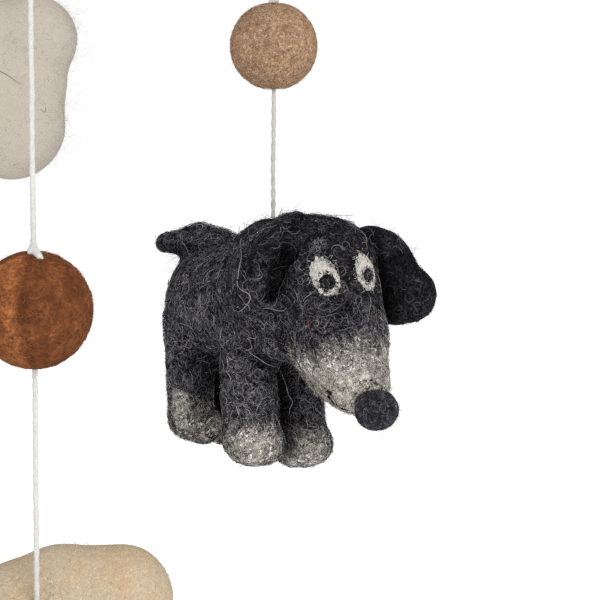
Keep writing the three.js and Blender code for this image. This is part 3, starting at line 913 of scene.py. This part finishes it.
# More roots are drawn than are used, so that those under a patch or on the nose can be left out.
# Hairs by the far ear and the nose are fewer and darker: by the far ear the darkening is painted shade, by
# the nose it is the nose's own black
thinned = {"spare": 2, "sunk": -0.5, "eyeEdge": 1.05, "ear": 0.8, "nose": 0.4, "standing": 0.35, "earShadeOrNose": 0.45,
           "shading": 0.8}
allPoints = np.vstack([dogBody["points"], dogNose["points"]])
allFaces = np.vstack([dogBody["faces"], dogNose["faces"] + len(dogBody["points"])])
for name, row in fibreRows.items():
    rng = np.random.default_rng(row["seed"])
    roots = scatter({"points": allPoints, "faces": allFaces}, row["count"] * thinned["spare"], rng)
    kept = (wholeDog(roots) > thinned["sunk"]) & (eyeReach(roots) > thinned["eyeEdge"])
    if row["lies"]:
        kept &= rng.random(len(roots)) < hairShare(roots)
        kept &= (rowField(roots, "nose") > thinned["nose"]) | (name == "wisp")
    else:
        kept &= (rowField(roots, "farEar") > thinned["ear"]) | (rng.random(len(roots)) < thinned["standing"])
    roots = roots[kept][:row["count"]]
    isLight = rng.random((len(roots), 1)) < lightShare(roots)[:, None]
    light = pickTints(row["light"], len(roots), rng)
    tints = np.where(isLight, light, pickTints(row["dark"], len(roots), rng))
    # Hair colours carry the wool's painted shade, and by the far ear a further painted shade
    isShadedEarOrNose = (rowField(roots, "farEar") < thinned["ear"]) | (rowField(roots, "nose") < thinned["nose"])
    shading = openShare(roots) ** thinned["shading"] * np.where(isShadedEarOrNose, thinned["earShadeOrNose"], 1.0)
    addFibres(f"dog_{name}_fibres", raisedFace, roots, row, tints * shading[:, None], row["seed"] + 50, nape,
              "charcoal_wool")

# Wool needled into and around each eye, and a pale tuft on the brow; white and pupil are the bands,
# as shares of the eye's own size, that the fibres start in
browTuft = {"at": (12.2, -31.0, -4.7), "reach": (2.0, 3, 3.0)}
eyeFibre = {"steps": 4, "length": (0.6, 1.8), "height": 0.1, "curl": 0.4, "change": 0.3, "start": 0.0,
            "radius": (0.05, 0.08), "lies": True}
eyeRows = {
    "white": {"count": 420, "white": (-1, 0.94), "pupil": (1.25, np.inf), "gain": 0.95, "slot": "eye_wool",
              "tints": [(4, 250, 247, 238), (2, 224, 220, 208)], "setting": {}},
    "rim": {"count": 170, "white": (0.9, 1.12), "slot": "charcoal_wool",
            "tints": [(5, 18, 17, 20), (2, 120, 120, 124)],
            "setting": {"length": (1.0, 2.6), "start": 0.1, "height": 0.3}},
    "lash": {"count": 60, "white": (1.0, 1.12), "slot": "eye_wool",
             "tints": [(3, 200, 199, 197), (1, 240, 238, 232)],
             "setting": {"length": (0.8, 2.0), "start": 0.08, "height": 0.3}},
    "pupil": {"count": 130, "pupil": (0.8, 1.12), "slot": "black_wool",
              "tints": [(1, 16, 15, 18)],
              "setting": {"length": (0.6, 1.5), "start": 0.08, "height": 0.15, "radius": (0.07, 0.1)}},
    # The glint is a painted highlight: grey hairs on each pupil
    "glint": {"count": 34, "pupil": (-1, 0.9), "slot": "black_wool",
              "tints": [(2, 100, 99, 104), (1, 160, 159, 162)],
              "setting": {"length": (0.8, 1.8), "start": 0.1, "height": 0.2}},
    "brow": {"count": 120, "tuft": (-1, 1), "slot": "charcoal_wool",
             "tints": [(2, 130, 131, 136), (2, 180, 182, 188), (3, 50, 50, 55)],
             "setting": {"length": (0.8, 2.4), "height": 0.5}},
}
eyeSeed = 431
poolCount = 200000  # roots over the whole dog, so that enough of them fall by the eyes
rng = np.random.default_rng(eyeSeed)
pool = scatter(dogBody, poolCount, rng)
bands = {"white": eyeReach(pool), "pupil": eyeReach(pool, pupilShell),
         "tuft": np.linalg.norm((pool - browTuft["at"]) / browTuft["reach"], axis=1)}
for number, (name, row) in enumerate(eyeRows.items()):
    kept = np.ones(len(pool), bool)
    for band, reach in bands.items():
        low, high = row.get(band, (-1, np.inf))
        kept &= (reach > low) & (reach < high)
    roots = pool[kept][:row["count"]]
    tints = pickTints(row["tints"], len(roots), rng) * row.get("gain", 1.0)
    setting = {**eyeFibre, **row["setting"]}
    seed = eyeSeed + 1 + number
    addFibres(f"dog_{name}_fibres", raisedFace, roots, setting, tints, seed, nape, row["slot"])


# A smooth curve through listed points, held at one height over the wool
curve = {"pieces": 7, "rounds": 6}


def strandLine(rows, field, lift):
    rows = settle(field, np.array(rows, float), lift, curve["rounds"])
    rows = np.vstack([2 * rows[0] - rows[1], rows, 2 * rows[-1] - rows[-2]])
    line = []
    for k in range(1, len(rows) - 2):
        a, b, c, d = rows[k - 1:k + 3]
        for t in np.arange(curve["pieces"]) / curve["pieces"]:
            square, cube = (2 * a - 5 * b + 4 * c - d) * t * t, (3 * b - a - 3 * c + d) * t ** 3
            line.append(0.5 * (2 * b + (c - a) * t + square + cube))
    return settle(field, np.array([*line, rows[-2]]), lift, curve["rounds"])


def addStray(name, row, field, offset, slotName):
    line = strandLine(row["rows"], field, row["lift"])
    points, faces = fibreMesh(line[None], [row["radius"]])
    made = addMesh(name, points + offset, faces, (), slotName)
    paint(made, "tint", np.tile(linear(*row["tint"]), (len(points), 1)))


# Strays that stand out: place rows go along each one, from the nape
dogStrays = {
    "leg_strand": {"tint": (205, 203, 200), "radius": 0.12, "rows": [
        (2.1, -2.3, -43.4), (2.8, -2.2, -45.2), (3.9, -2.7, -48), (4.6, -2.9, -50.8), (5.7, -3.2, -52.6),
        (5, -2.9, -54.8), (4.8, -2.7, -56.6)]},
    "shoulder_strand": {"tint": (200, 198, 196), "radius": 0.11, "rows": [
        (-9.2, -9.2, -6), (-8.4, -20.6, -8.2), (-9, -22.1, -13.1), (-9.3, -22.4, -16.2), (-8.3, -23.6, -17.7),
        (-6.5, -24.5, -18.5), (-5.8, -24.4, -20.1), (-6.7, -23.2, -22.1), (-8.7, -19.1, -24.3),
        (-10.5, -18.1, -23.8), (-10.7, -19.3, -22.7)]},
    "chest_strand": {"tint": (190, 188, 186), "radius": 0.1, "rows": [
        (-6.2, -15.6, -36.5), (-2.9, -14.5, -38.4), (0.7, -9.7, -41.4)]},
    "brow_strand": {"tint": (180, 176, 170), "radius": 0.09, "rows": [
        (15.9, -31.7, -5.5), (16.8, -31.1, -4.6), (18, -30.8, -4.4), (19, -30.9, -5), (19.5, -31.2, -5.9)]},
    "face_strand": {"tint": (150, 146, 140), "radius": 0.08, "rows": [
        (17.6, -32.8, -10.6), (18.7, -32.5, -10), (19.8, -32.3, -10.6), (20.1, -32.4, -11.7),
        (19.3, -32.7, -12.6), (18.2, -33, -12.9)]},
    "cheek_strand": {"tint": (170, 164, 154), "radius": 0.09, "rows": [
        (28.6, -24.6, -12.7), (29.4, -22.6, -14.2), (29.9, -21.6, -16.6), (29.9, -21.3, -18.9),
        (29.4, -22.4, -21.4)]},
    "red_strand": {"tint": (190, 52, 56), "radius": 0.09, "rows": [
        (9.9, -31.9, -24.4), (10.1, -32.3, -26), (10.7, -33, -28.6)]},
    "amber_strand": {"tint": (176, 126, 84), "radius": 0.09, "rows": [
        (27.6, -29.5, -22.2), (26.8, -30.6, -23.6), (27, -31.2, -25.5)]},
}
for name, row in dogStrays.items():
    addStray(f"dog_{name}", {**row, "lift": 0.45}, wholeDog, nape, "charcoal_wool")

# The mouth: dark strands needled along the jaw and up to the nose, and a speck on the muzzle. The
# places run forward, to the side and up from the skull
mouthLift = 0.05
mouthRows = [
    {"radius": 0.55, "rows": [(14.6, -10.1, -30.9), (16, -9.6, -31.4), (17.1, -9.3, -31.9),
                              (15.6, -9.3, -32.9), (15.6, -8.9, -34)]},
    {"radius": 0.36, "rows": [(15.6, -8.9, -34), (16.6, -8.2, -35.2), (17.4, -7.3, -36.2),
                              (19.4, -5.2, -36.9)]},
    {"radius": 0.3, "rows": [(24.4, -0.3, -28.4), (24.5, 0.1, -28.8), (24.4, 0.5, -28.9)]},
]
mouthPoints, mouthQuads, mouthCaps, start = [], [], [], 0
for row in mouthRows:
    line = strandLine([onHead(*place) for place in row["rows"]], woolField, mouthLift)
    points, (quads, caps) = fibreMesh(line[None], [row["radius"]])
    mouthPoints.append(points)
    mouthQuads.append(quads + start)
    mouthCaps.append(caps + start)
    start += len(points)
addMesh("dog_mouth_wool", np.vstack(mouthPoints) + nape, [np.vstack(mouthQuads), np.vstack(mouthCaps)], (),
        "black_wool")
print("dog fibres laid")


# The rust ball's lighter left part ends in a crease, which is darkened along its front as painted shade; the
# cream body has warm spots as (x, z, width)
rustCrease = {"x": -58.6, "z": -116, "bow": 0.01, "front": -104, "width": 1.5, "depth": 0.22,
              "share": 0.9, "soft": (-0.8, 2.6), "ragged": 0.5, "raggedSize": 3, "seed": 571}
creamTone = {"broad": 0.3, "sizes": (7, 3), "second": 0.6, "seed": 577, "soft": (-0.2, 1.0), "spot": 0.35,
             "spots": [(-40.7, -178.9, 3.4), (-40.8, -184.4, 3.8), (-35.9, -186.3, 3.2),
                       (-63.9, -181.5, 4.2), (-60.3, -186.5, 4.4), (-47.5, -183, 4.6)]}
plainTone = {"share": 0.5, "size": 9, "seed": 575, "soft": (0, 0.8)}


def creaseReach(p):
    return p[:, 0] - rustCrease["x"] - rustCrease["bow"] * (p[:, 2] - rustCrease["z"]) ** 2


def rustPatch(p):
    edge = -creaseReach(p) + rustCrease["ragged"] * wander(p, rustCrease["raggedSize"], rustCrease["seed"])
    return rustCrease["share"] * smooth(edge, *rustCrease["soft"]) * (p[:, 1] < rustCrease["front"])


def creamPatch(p):
    large, small = creamTone["sizes"]
    seed = creamTone["seed"]
    broad = wander(p, large, seed) + creamTone["second"] * wander(p, small, seed + 1)
    spots = []
    for x, z, wide in creamTone["spots"]:
        spots.append(np.exp(-((p[:, 0] - x) ** 2 + (p[:, 2] - z) ** 2) / wide ** 2))
    return creamTone["broad"] * smooth(broad, *creamTone["soft"]) + creamTone["spot"] * np.max(spots, 0)


def plainPatch(p):
    return plainTone["share"] * smooth(wander(p, plainTone["size"], plainTone["seed"]), *plainTone["soft"])


# Painted shade in the rust ball's crease: a narrow darker band along its front
def rustCreaseShade(p):
    creaseShade = np.exp(-(creaseReach(p) / rustCrease["width"]) ** 2)
    return 1 - rustCrease["depth"] * creaseShade * (p[:, 1] < rustCrease["front"])


# Pieces with no painted shade
def noPaintedShade(p):
    return np.ones(len(p))


# Curls lie on each piece, and a nap stands off it to the height and by the lengths given
feltRows = {
    "beige": {
        "piece": ballPieces["beige"], "field": ballField(ballRows["beige"]),
        "patch": plainPatch, "creaseShade": noPaintedShade,
        "curls": 1300, "curlHeight": 0.2, "fuzz": 1500, "nap": 0.9, "napLength": (0.7, 1.9), "gain": 1.0,
        "tints": [(4, 218, 180, 147), (3, 188, 149, 117), (1, 238, 208, 178)],
    },
    "rust": {
        "piece": ballPieces["rust"], "field": ballField(ballRows["rust"]),
        "patch": rustPatch, "creaseShade": rustCreaseShade,
        "curls": 1300, "curlHeight": 0.3, "fuzz": 1100, "nap": 0.9, "napLength": (0.7, 1.9), "gain": 0.95,
        "tints": [(4, 168, 103, 65), (2, 132, 78, 48), (1, 198, 134, 92)],
    },
    "pale": {
        "piece": palePiece, "field": paleField, "patch": plainPatch, "creaseShade": noPaintedShade,
        "curls": 120, "curlHeight": 0.02, "fuzz": 1700, "nap": 2.4, "napLength": (1.0, 3.2), "gain": 1.25,
        "tints": [(4, 232, 224, 211), (2, 222, 212, 197)],
    },
    "cream": {
        "piece": creamPiece, "field": creamField, "patch": creamPatch, "creaseShade": noPaintedShade,
        "curls": 420, "curlHeight": 0.06, "fuzz": 3000, "nap": 2.0, "napLength": (1.0, 2.8), "gain": 1.1,
        "tints": [(4, 238, 222, 195), (2, 234, 210, 172)],
    },
}
feltSeed = 500
feltCurl = {"steps": 4, "length": (2.0, 5.5), "curl": 0.5, "change": 0.4, "start": 0.0,
            "radius": (0.035, 0.06), "lies": True}
feltFuzz = {"steps": 2, "curl": 0.5, "change": 0.5, "start": -0.1, "radius": (0.034, 0.055), "lies": False}
for number, (name, row) in enumerate(feltRows.items()):
    felt = row["piece"]
    paint(felt["object"], "patch", row["patch"](felt["points"]))
    # Painted shade, which only the rust ball has, in its crease
    paint(felt["object"], "openShare", row["creaseShade"](felt["points"]))
    kinds = {"curls": {**feltCurl, "height": row["curlHeight"]},
             "fuzz": {**feltFuzz, "height": row["nap"], "length": row["napLength"]}}
    rng = np.random.default_rng(feltSeed + number)
    for kind, setting in kinds.items():
        roots = scatter(felt, row[kind], rng)
        tints = pickTints(row["tints"], row[kind], rng) * row["gain"]
        seed = feltSeed + 20 + number
        addFibres(f"{name}_{kind}", row["field"], roots, setting, tints, seed, 0, f"{name}_wool")

paleStrays = {
    "brown_hair": {"tint": (168, 120, 78), "radius": 0.11, "lift": 0.15, "rows": [
        (-82, 1.5, -61.8), (-78.6, 1.5, -63), (-76.9, 1.5, -63.8), (-74.7, 1.5, -64.8), (-71.3, 1.5, -67.2)]},
    "small_curl": {"tint": (120, 100, 76), "radius": 0.07, "lift": 0.1, "rows": [
        (-65.9, 3, -74.2), (-65.1, 3, -75.1), (-64.2, 3, -74.7), (-64.3, 3, -73.7)]},
}
for name, row in paleStrays.items():
    addStray(f"pale_{name}", row, paleField, 0, "pale_wool")

# Long thin hairs around the pale body's right edge
haloRow = {"steps": 9, "length": (4, 12), "height": 6.0, "curl": 0.22, "change": 0.25, "start": -0.1,
           "radius": (0.014, 0.022), "lies": False, "count": 150, "rightOf": -66, "depth": 10, "within": 5,
           "seed": 560, "pool": 6000}
rng = np.random.default_rng(haloRow["seed"])
roots = scatter(palePiece, haloRow["pool"], rng)
atEdge = (roots[:, 0] > haloRow["rightOf"]) & (abs(roots[:, 1] - haloRow["depth"]) < haloRow["within"])
roots = roots[atEdge][:haloRow["count"]]
tints = pickTints([(1, 205, 198, 186)], len(roots), rng)
addFibres("pale_halo", paleField, roots, haloRow, tints, haloRow["seed"] + 1, 0, "pale_wool")
print("felt fibres laid")


# One output of a node; sums of outputs and numbers become Math nodes
class Wire:
    def __init__(self, graph, socket):
        self.graph = graph
        self.socket = socket

    def math(self, operation, *others):
        return self.graph.math(operation, self, *others)

    def __add__(self, other):
        return self.math("ADD", other)

    __radd__ = __add__

    def __mul__(self, other):
        return self.math("MULTIPLY", other)

    __rmul__ = __mul__

    def __sub__(self, other):
        return self.math("SUBTRACT", other)

    def __rsub__(self, other):
        return self.graph.math("SUBTRACT", other, self)

    def fade(self, low, high):
        settings = {"interpolation_type": "SMOOTHSTEP"}
        return self.graph.node("ShaderNodeMapRange", settings, {0: self, 1: low, 2: high, 3: 0.0, 4: 1.0})


class Graph:
    def __init__(self, name):
        self.material = bpy.data.materials.new(name)
        self.material.use_nodes = True
        self.tree = self.material.node_tree
        self.shader = self.tree.nodes["Principled BSDF"]
        self.place = self.node("ShaderNodeTexCoord", {}, {}, "Object")

    def node(self, kind, settings, inputs, output=0):
        made = self.tree.nodes.new(kind)
        for key, value in settings.items():
            setattr(made, key, value)
        for key, value in inputs.items():
            self.feed(made.inputs[key], value)
        return Wire(self, made.outputs[output])

    def feed(self, socket, value):
        if isinstance(value, Wire):
            self.tree.links.new(value.socket, socket)
        else:
            socket.default_value = value

    def math(self, operation, *values):
        return self.node("ShaderNodeMath", {"operation": operation}, dict(enumerate(values)))

    def noise(self, scale, seed, detail=2.0, warp=0.0):
        inputs = {"Vector": self.place, "W": seed, "Scale": scale, "Detail": detail, "Distortion": warp}
        return self.node("ShaderNodeTexNoise", {"noise_dimensions": "4D"}, inputs)

    # Sockets 6 and 7 of a Mix node are its two colours, and output 2 is the mixed one
    def blend(self, factor, first, second):
        inputs = {0: factor, 6: colour(first), 7: colour(second)}
        return self.node("ShaderNodeMix", {"data_type": "RGBA"}, inputs, 2)

    def scaled(self, tone, amount):
        return self.node("ShaderNodeVectorMath", {"operation": "SCALE"}, {0: tone, "Scale": amount})

    def attribute(self, name, output="Fac"):
        return self.node("ShaderNodeAttribute", {"attribute_name": name}, {}, output)

    def finishWith(self, base, height, depth, constants):
        self.feed(self.shader.inputs["Base Color"], base)
        bump = self.node("ShaderNodeBump", {}, {"Strength": 1.0, "Distance": depth, "Height": height})
        self.feed(self.shader.inputs["Normal"], bump)
        for key, value in constants.items():
            self.shader.inputs[key].default_value = value
        return self.material


def colour(value):
    return value if isinstance(value, Wire) else (*[float(c) for c in value], 1.0)


# Curled hairs: thin ridges where a noise passes its middle, broken up by a slower noise. Every
# ridge and every break has a noise seed of its own
broken = {"slower": 0.45, "low": 0.38, "high": 0.62, "ridgeSeed": 7.3, "breakSeed": 3.1, "seedGap": 50}


def tangle(graph, rows, seed):
    total = 0.0
    for number, (scale, width, strength, warp) in enumerate(rows):
        field = graph.noise(scale, seed + number * broken["ridgeSeed"], 1.0, warp)
        ridge = 1.0 - (field - 0.5).math("ABSOLUTE").fade(0.0, width)
        breakSeed = seed + number * broken["breakSeed"] + broken["seedGap"]
        slow = graph.noise(scale * broken["slower"], breakSeed, 1.0)
        total = total + ridge * slow.fade(broken["low"], broken["high"]) * strength
    return total


# Each row of a tangle is scale, width, strength and warp
coarse = [(430.0, 0.04, 1.1, 0.8), (640.0, 0.045, 1.0, 0.7), (950.0, 0.055, 0.8, 0.5),
          (1500.0, 0.07, 0.45, 0.3)]
web = [(700.0, 0.05, 0.9, 0.6), (1000.0, 0.055, 0.8, 0.5), (1500.0, 0.07, 0.6, 0.3)]
close = [(1000.0, 0.05, 0.9, 0.5), (1400.0, 0.065, 0.9, 0.4), (1900.0, 0.08, 0.8, 0.3)]
curly = [(1000.0, 0.08, 0.9, 0.7), (1500.0, 0.1, 0.9, 0.5), (2300.0, 0.13, 0.7, 0.3)]
swirled = [(300.0, 0.16, 0.6, 1.8), (520.0, 0.14, 0.6, 1.4), (900.0, 0.12, 0.5, 0.8)]
# Brightness starts at low, gains mid on the open wool and gains high on the curls; "patch" is the
# colour of a piece's painted patches, and "zone" is the dog's light wool
woolRows = {
    "charcoal": {
        "seed": 1.0, "tangle": coarse, "mean": linear(67, 65, 70), "low": 0.02, "mid": 0.2, "high": 4.1,
        "mottle": 820.0, "patchy": 1.5, "depth": 0.00035, "paintedShade": True,
        "zone": {"mean": linear(226, 220, 208), "low": 0.02, "mid": 0.98, "high": 0.4},
    },
    "black": {
        "seed": 2.0, "tangle": web, "mean": linear(40, 39, 43), "patch": linear(66, 65, 71),
        "low": 0.16, "mid": 0.28, "high": 3.0, "mottle": 820.0, "patchy": 1.3, "depth": 0.0003,
    },
    "eye": {
        "seed": 3.0, "tangle": close, "mean": linear(238, 234, 222), "low": 0.66, "mid": 0.2, "high": 0.28,
        "mottle": 300.0, "patchy": 0.15, "depth": 0.0001,
    },
    "beige": {
        "seed": 4.0, "tangle": curly, "mean": linear(192, 155, 124), "low": 0.4, "mid": 0.42, "high": 0.66,
        "mottle": 240.0, "patchy": 0.06, "depth": 0.00015,
    },
    "rust": {
        "seed": 5.0, "tangle": swirled, "mean": linear(130, 78, 48), "patch": linear(173, 107, 65),
        "low": 0.56, "mid": 0.1, "high": 0.6, "mottle": 230.0, "patchy": 1.1, "swirl": 2.0, "depth": 0.0001,
        "paintedShade": True,
    },
    "pale": {
        "seed": 6.0, "tangle": close, "mean": linear(206, 198, 184), "patch": linear(207, 195, 177),
        "low": 0.92, "mid": 0.05, "high": 0.08, "mottle": 160.0, "patchy": 0.08, "depth": 0.00004,
    },
    "cream": {
        "seed": 7.0, "tangle": close, "mean": linear(215, 198, 171), "patch": linear(222, 184, 138),
        "low": 0.82, "mid": 0.1, "high": 0.26, "mottle": 160.0, "patchy": 0.08, "depth": 0.00005,
    },
}
woolFinish = {"Roughness": 0.95, "Specular IOR Level": 0.03}
woolMost = {"curls": 1.2, "pits": 1.0}
woolGrain = {"scale": 1100.0, "warp": 0.4, "contrast": 5.0, "fine": 2600.0}
woolBump = {"curls": 0.8, "open": 0.5, "fine": 0.4}


def feltMaterial(name, setting):
    g = Graph(name)
    seed = setting["seed"]
    curls = tangle(g, setting["tangle"], seed).math("MINIMUM", woolMost["curls"])
    pits = tangle(g, setting["tangle"], seed + 20).math("MINIMUM", woolMost["pits"])
    mottle = g.noise(setting["mottle"], seed + 40, 3.0, setting.get("swirl", 0.0)) - 0.5
    openWool = 1.0 - pits
    tone = g.blend(g.attribute("patch"), setting["mean"], setting.get("patch", setting["mean"]))
    hair = g.attribute("hairShare") if "zone" in setting else 1.0
    amount = setting["low"] + openWool * setting["mid"] + curls * setting["high"] * hair
    if "zone" in setting:
        zone = setting["zone"]
        share = g.attribute("lightShare")
        grain = g.noise(woolGrain["scale"], seed + 60, 2.0, woolGrain["warp"]) - 0.5
        mixed = share + grain * share * (1.0 - share) * woolGrain["contrast"]
        mixed = mixed.math("MAXIMUM", 0.0).math("MINIMUM", 1.0)
        tone = g.blend(mixed, tone, zone["mean"])
        lightAmount = zone["low"] + openWool * zone["mid"] + curls * zone["high"]
        amount = amount + (lightAmount - amount) * mixed
    # Painted shade held on the piece darkens the wool
    if "paintedShade" in setting:
        amount = amount * g.attribute("openShare")
    amount = amount * (1.0 + mottle * setting["patchy"])
    fine = g.noise(woolGrain["fine"], seed + 80, 2.0)
    height = curls * woolBump["curls"] + openWool * woolBump["open"] + fine * woolBump["fine"]
    return g.finishWith(g.scaled(tone, amount), height, setting["depth"], woolFinish)


# Hairs take their own tint, darkened here and there
fibreFinish = {"Roughness": 0.8, "Specular IOR Level": 0.08}
fibreGrain = {"scale": 700.0, "low": 0.3, "high": 0.7, "fine": 5000.0, "depth": 0.00001,
              "dark": 0.35, "plain": 0.08}


def fibreMaterial(name, seed, dim):
    g = Graph(name)
    tint = g.attribute("tint", "Color")
    change = g.noise(fibreGrain["scale"], seed, 2.0).fade(fibreGrain["low"], fibreGrain["high"])
    base = g.blend(change * dim, tint, (0.0, 0.0, 0.0))
    return g.finishWith(base, g.noise(fibreGrain["fine"], seed + 9, 1.0), fibreGrain["depth"], fibreFinish)


cotton = {
    "tangle": [(1500.0, 0.08, 0.8, 0.3), (2300.0, 0.08, 0.7, 0.3)], "seed": 9.0, "depth": 0.00006,
    "clean": linear(220, 215, 206), "stained": linear(192, 184, 172), "stain": 0.7, "stainScale": 220.0,
    "stainSoft": (0.4, 0.7), "fineShare": 0.5,
    "fibre": linear(244, 241, 236), "fibreShare": 0.35, "white": linear(236, 235, 231), "whiteShare": 0.85,
    "fine": 4200.0, "finish": {"Roughness": 0.85, "Specular IOR Level": 0.25, "Sheen Weight": 0.2},
}


def cottonMaterial(setting):
    g = Graph("cotton_twist")
    strandWeave = tangle(g, setting["tangle"], setting["seed"]).math("MINIMUM", 1.0)
    stain = g.noise(setting["stainScale"], setting["seed"] + 3, 3.0).fade(*setting["stainSoft"])
    tone = g.blend(stain * setting["stain"], setting["clean"], setting["stained"])
    tone = g.blend(strandWeave * setting["fibreShare"], tone, setting["fibre"])
    tone = g.blend(g.attribute("patch") * setting["whiteShare"], tone, setting["white"])
    height = strandWeave + g.noise(setting["fine"], setting["seed"] + 5, 2.0) * setting["fineShare"]
    return g.finishWith(tone, height, setting["depth"], setting["finish"])


slotMaterials = {"cotton_cord": cottonMaterial(cotton)}
slotFibres = {}
for name, row in woolRows.items():
    dim = fibreGrain["dark"] if "zone" in row else fibreGrain["plain"]
    slotMaterials[f"{name}_wool"] = feltMaterial(f"{name}_felt", row)
    slotFibres[f"{name}_wool"] = fibreMaterial(f"{name}_fibre", row["seed"] + 100, dim)
triangles = {}
for piece in list(bpy.context.scene.objects):
    if piece.type != "MESH" or "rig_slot" not in piece:
        continue
    isFibre = "tint" in piece.data.attributes
    triangles[piece.name] = sum(len(face.vertices) - 2 for face in piece.data.polygons)
    piece.data.materials.clear()
    piece.data.materials.append((slotFibres if isFibre else slotMaterials)[piece["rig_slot"]])
print("materials set on", len(triangles), "pieces of", sum(triangles.values()), "triangles")


# The floor and the lamps are sized in metres
paperFloor = {"half": 6, "height": -0.9, "light": (0.93, 0.93, 0.93), "dark": (0.9, 0.9, 0.9),
              "grain": 3.0, "fine": 40.0, "depth": 0.0001,
              "finish": {"Roughness": 0.9, "Emission Color": (1, 1, 1, 1), "Emission Strength": 0.3}}


def addFloor(setting):
    half = setting["half"]
    corners = [(x * half, y * half, setting["height"]) for x, y in ((-1, -1), (1, -1), (1, 1), (-1, 1))]
    data = bpy.data.meshes.new("floor")
    data.from_pydata(corners, [], [(0, 1, 2, 3)])
    floor = addObject("floor", data)
    g = Graph("floor_paper")
    paper = g.blend(g.noise(setting["grain"], 1.0), setting["dark"], setting["light"])
    bumps = g.noise(setting["fine"], 2.0)
    data.materials.append(g.finishWith(paper, bumps, setting["depth"], setting["finish"]))


lamps = {
    "keyLight": {"place": (0.5, -1.1, 0.22), "aim": (0, 0, -0.13), "size": 0.6, "power": 13.0},
    "fillLight": {"place": (-0.6, -1.0, 0.35), "aim": (0, 0, -0.13), "size": 0.8, "power": 3.0},
}


def addLamp(name, lamp):
    data = bpy.data.lights.new(name, "AREA")
    data.energy = lamp["power"]
    data.size = lamp["size"]
    back = unit(np.array(lamp["place"]) - lamp["aim"])
    right = unit(np.cross((0, 0, 1), back))
    addObject(name, data).matrix_world = placed(right, np.cross(back, right), back, lamp["place"])


addFloor(paperFloor)
for name, lamp in lamps.items():
    addLamp(name, lamp)
world = bpy.data.worlds.new("world")
bpy.context.scene.world = world
world.use_nodes = True
background = world.node_tree.nodes["Background"]
background.inputs["Color"].default_value = (1, 1, 1, 1)
background.inputs["Strength"].default_value = 1.0
bpy.context.scene.view_settings.view_transform = "Standard"
bpy.context.scene.cycles.use_denoising = False
print("floor and lamps set")
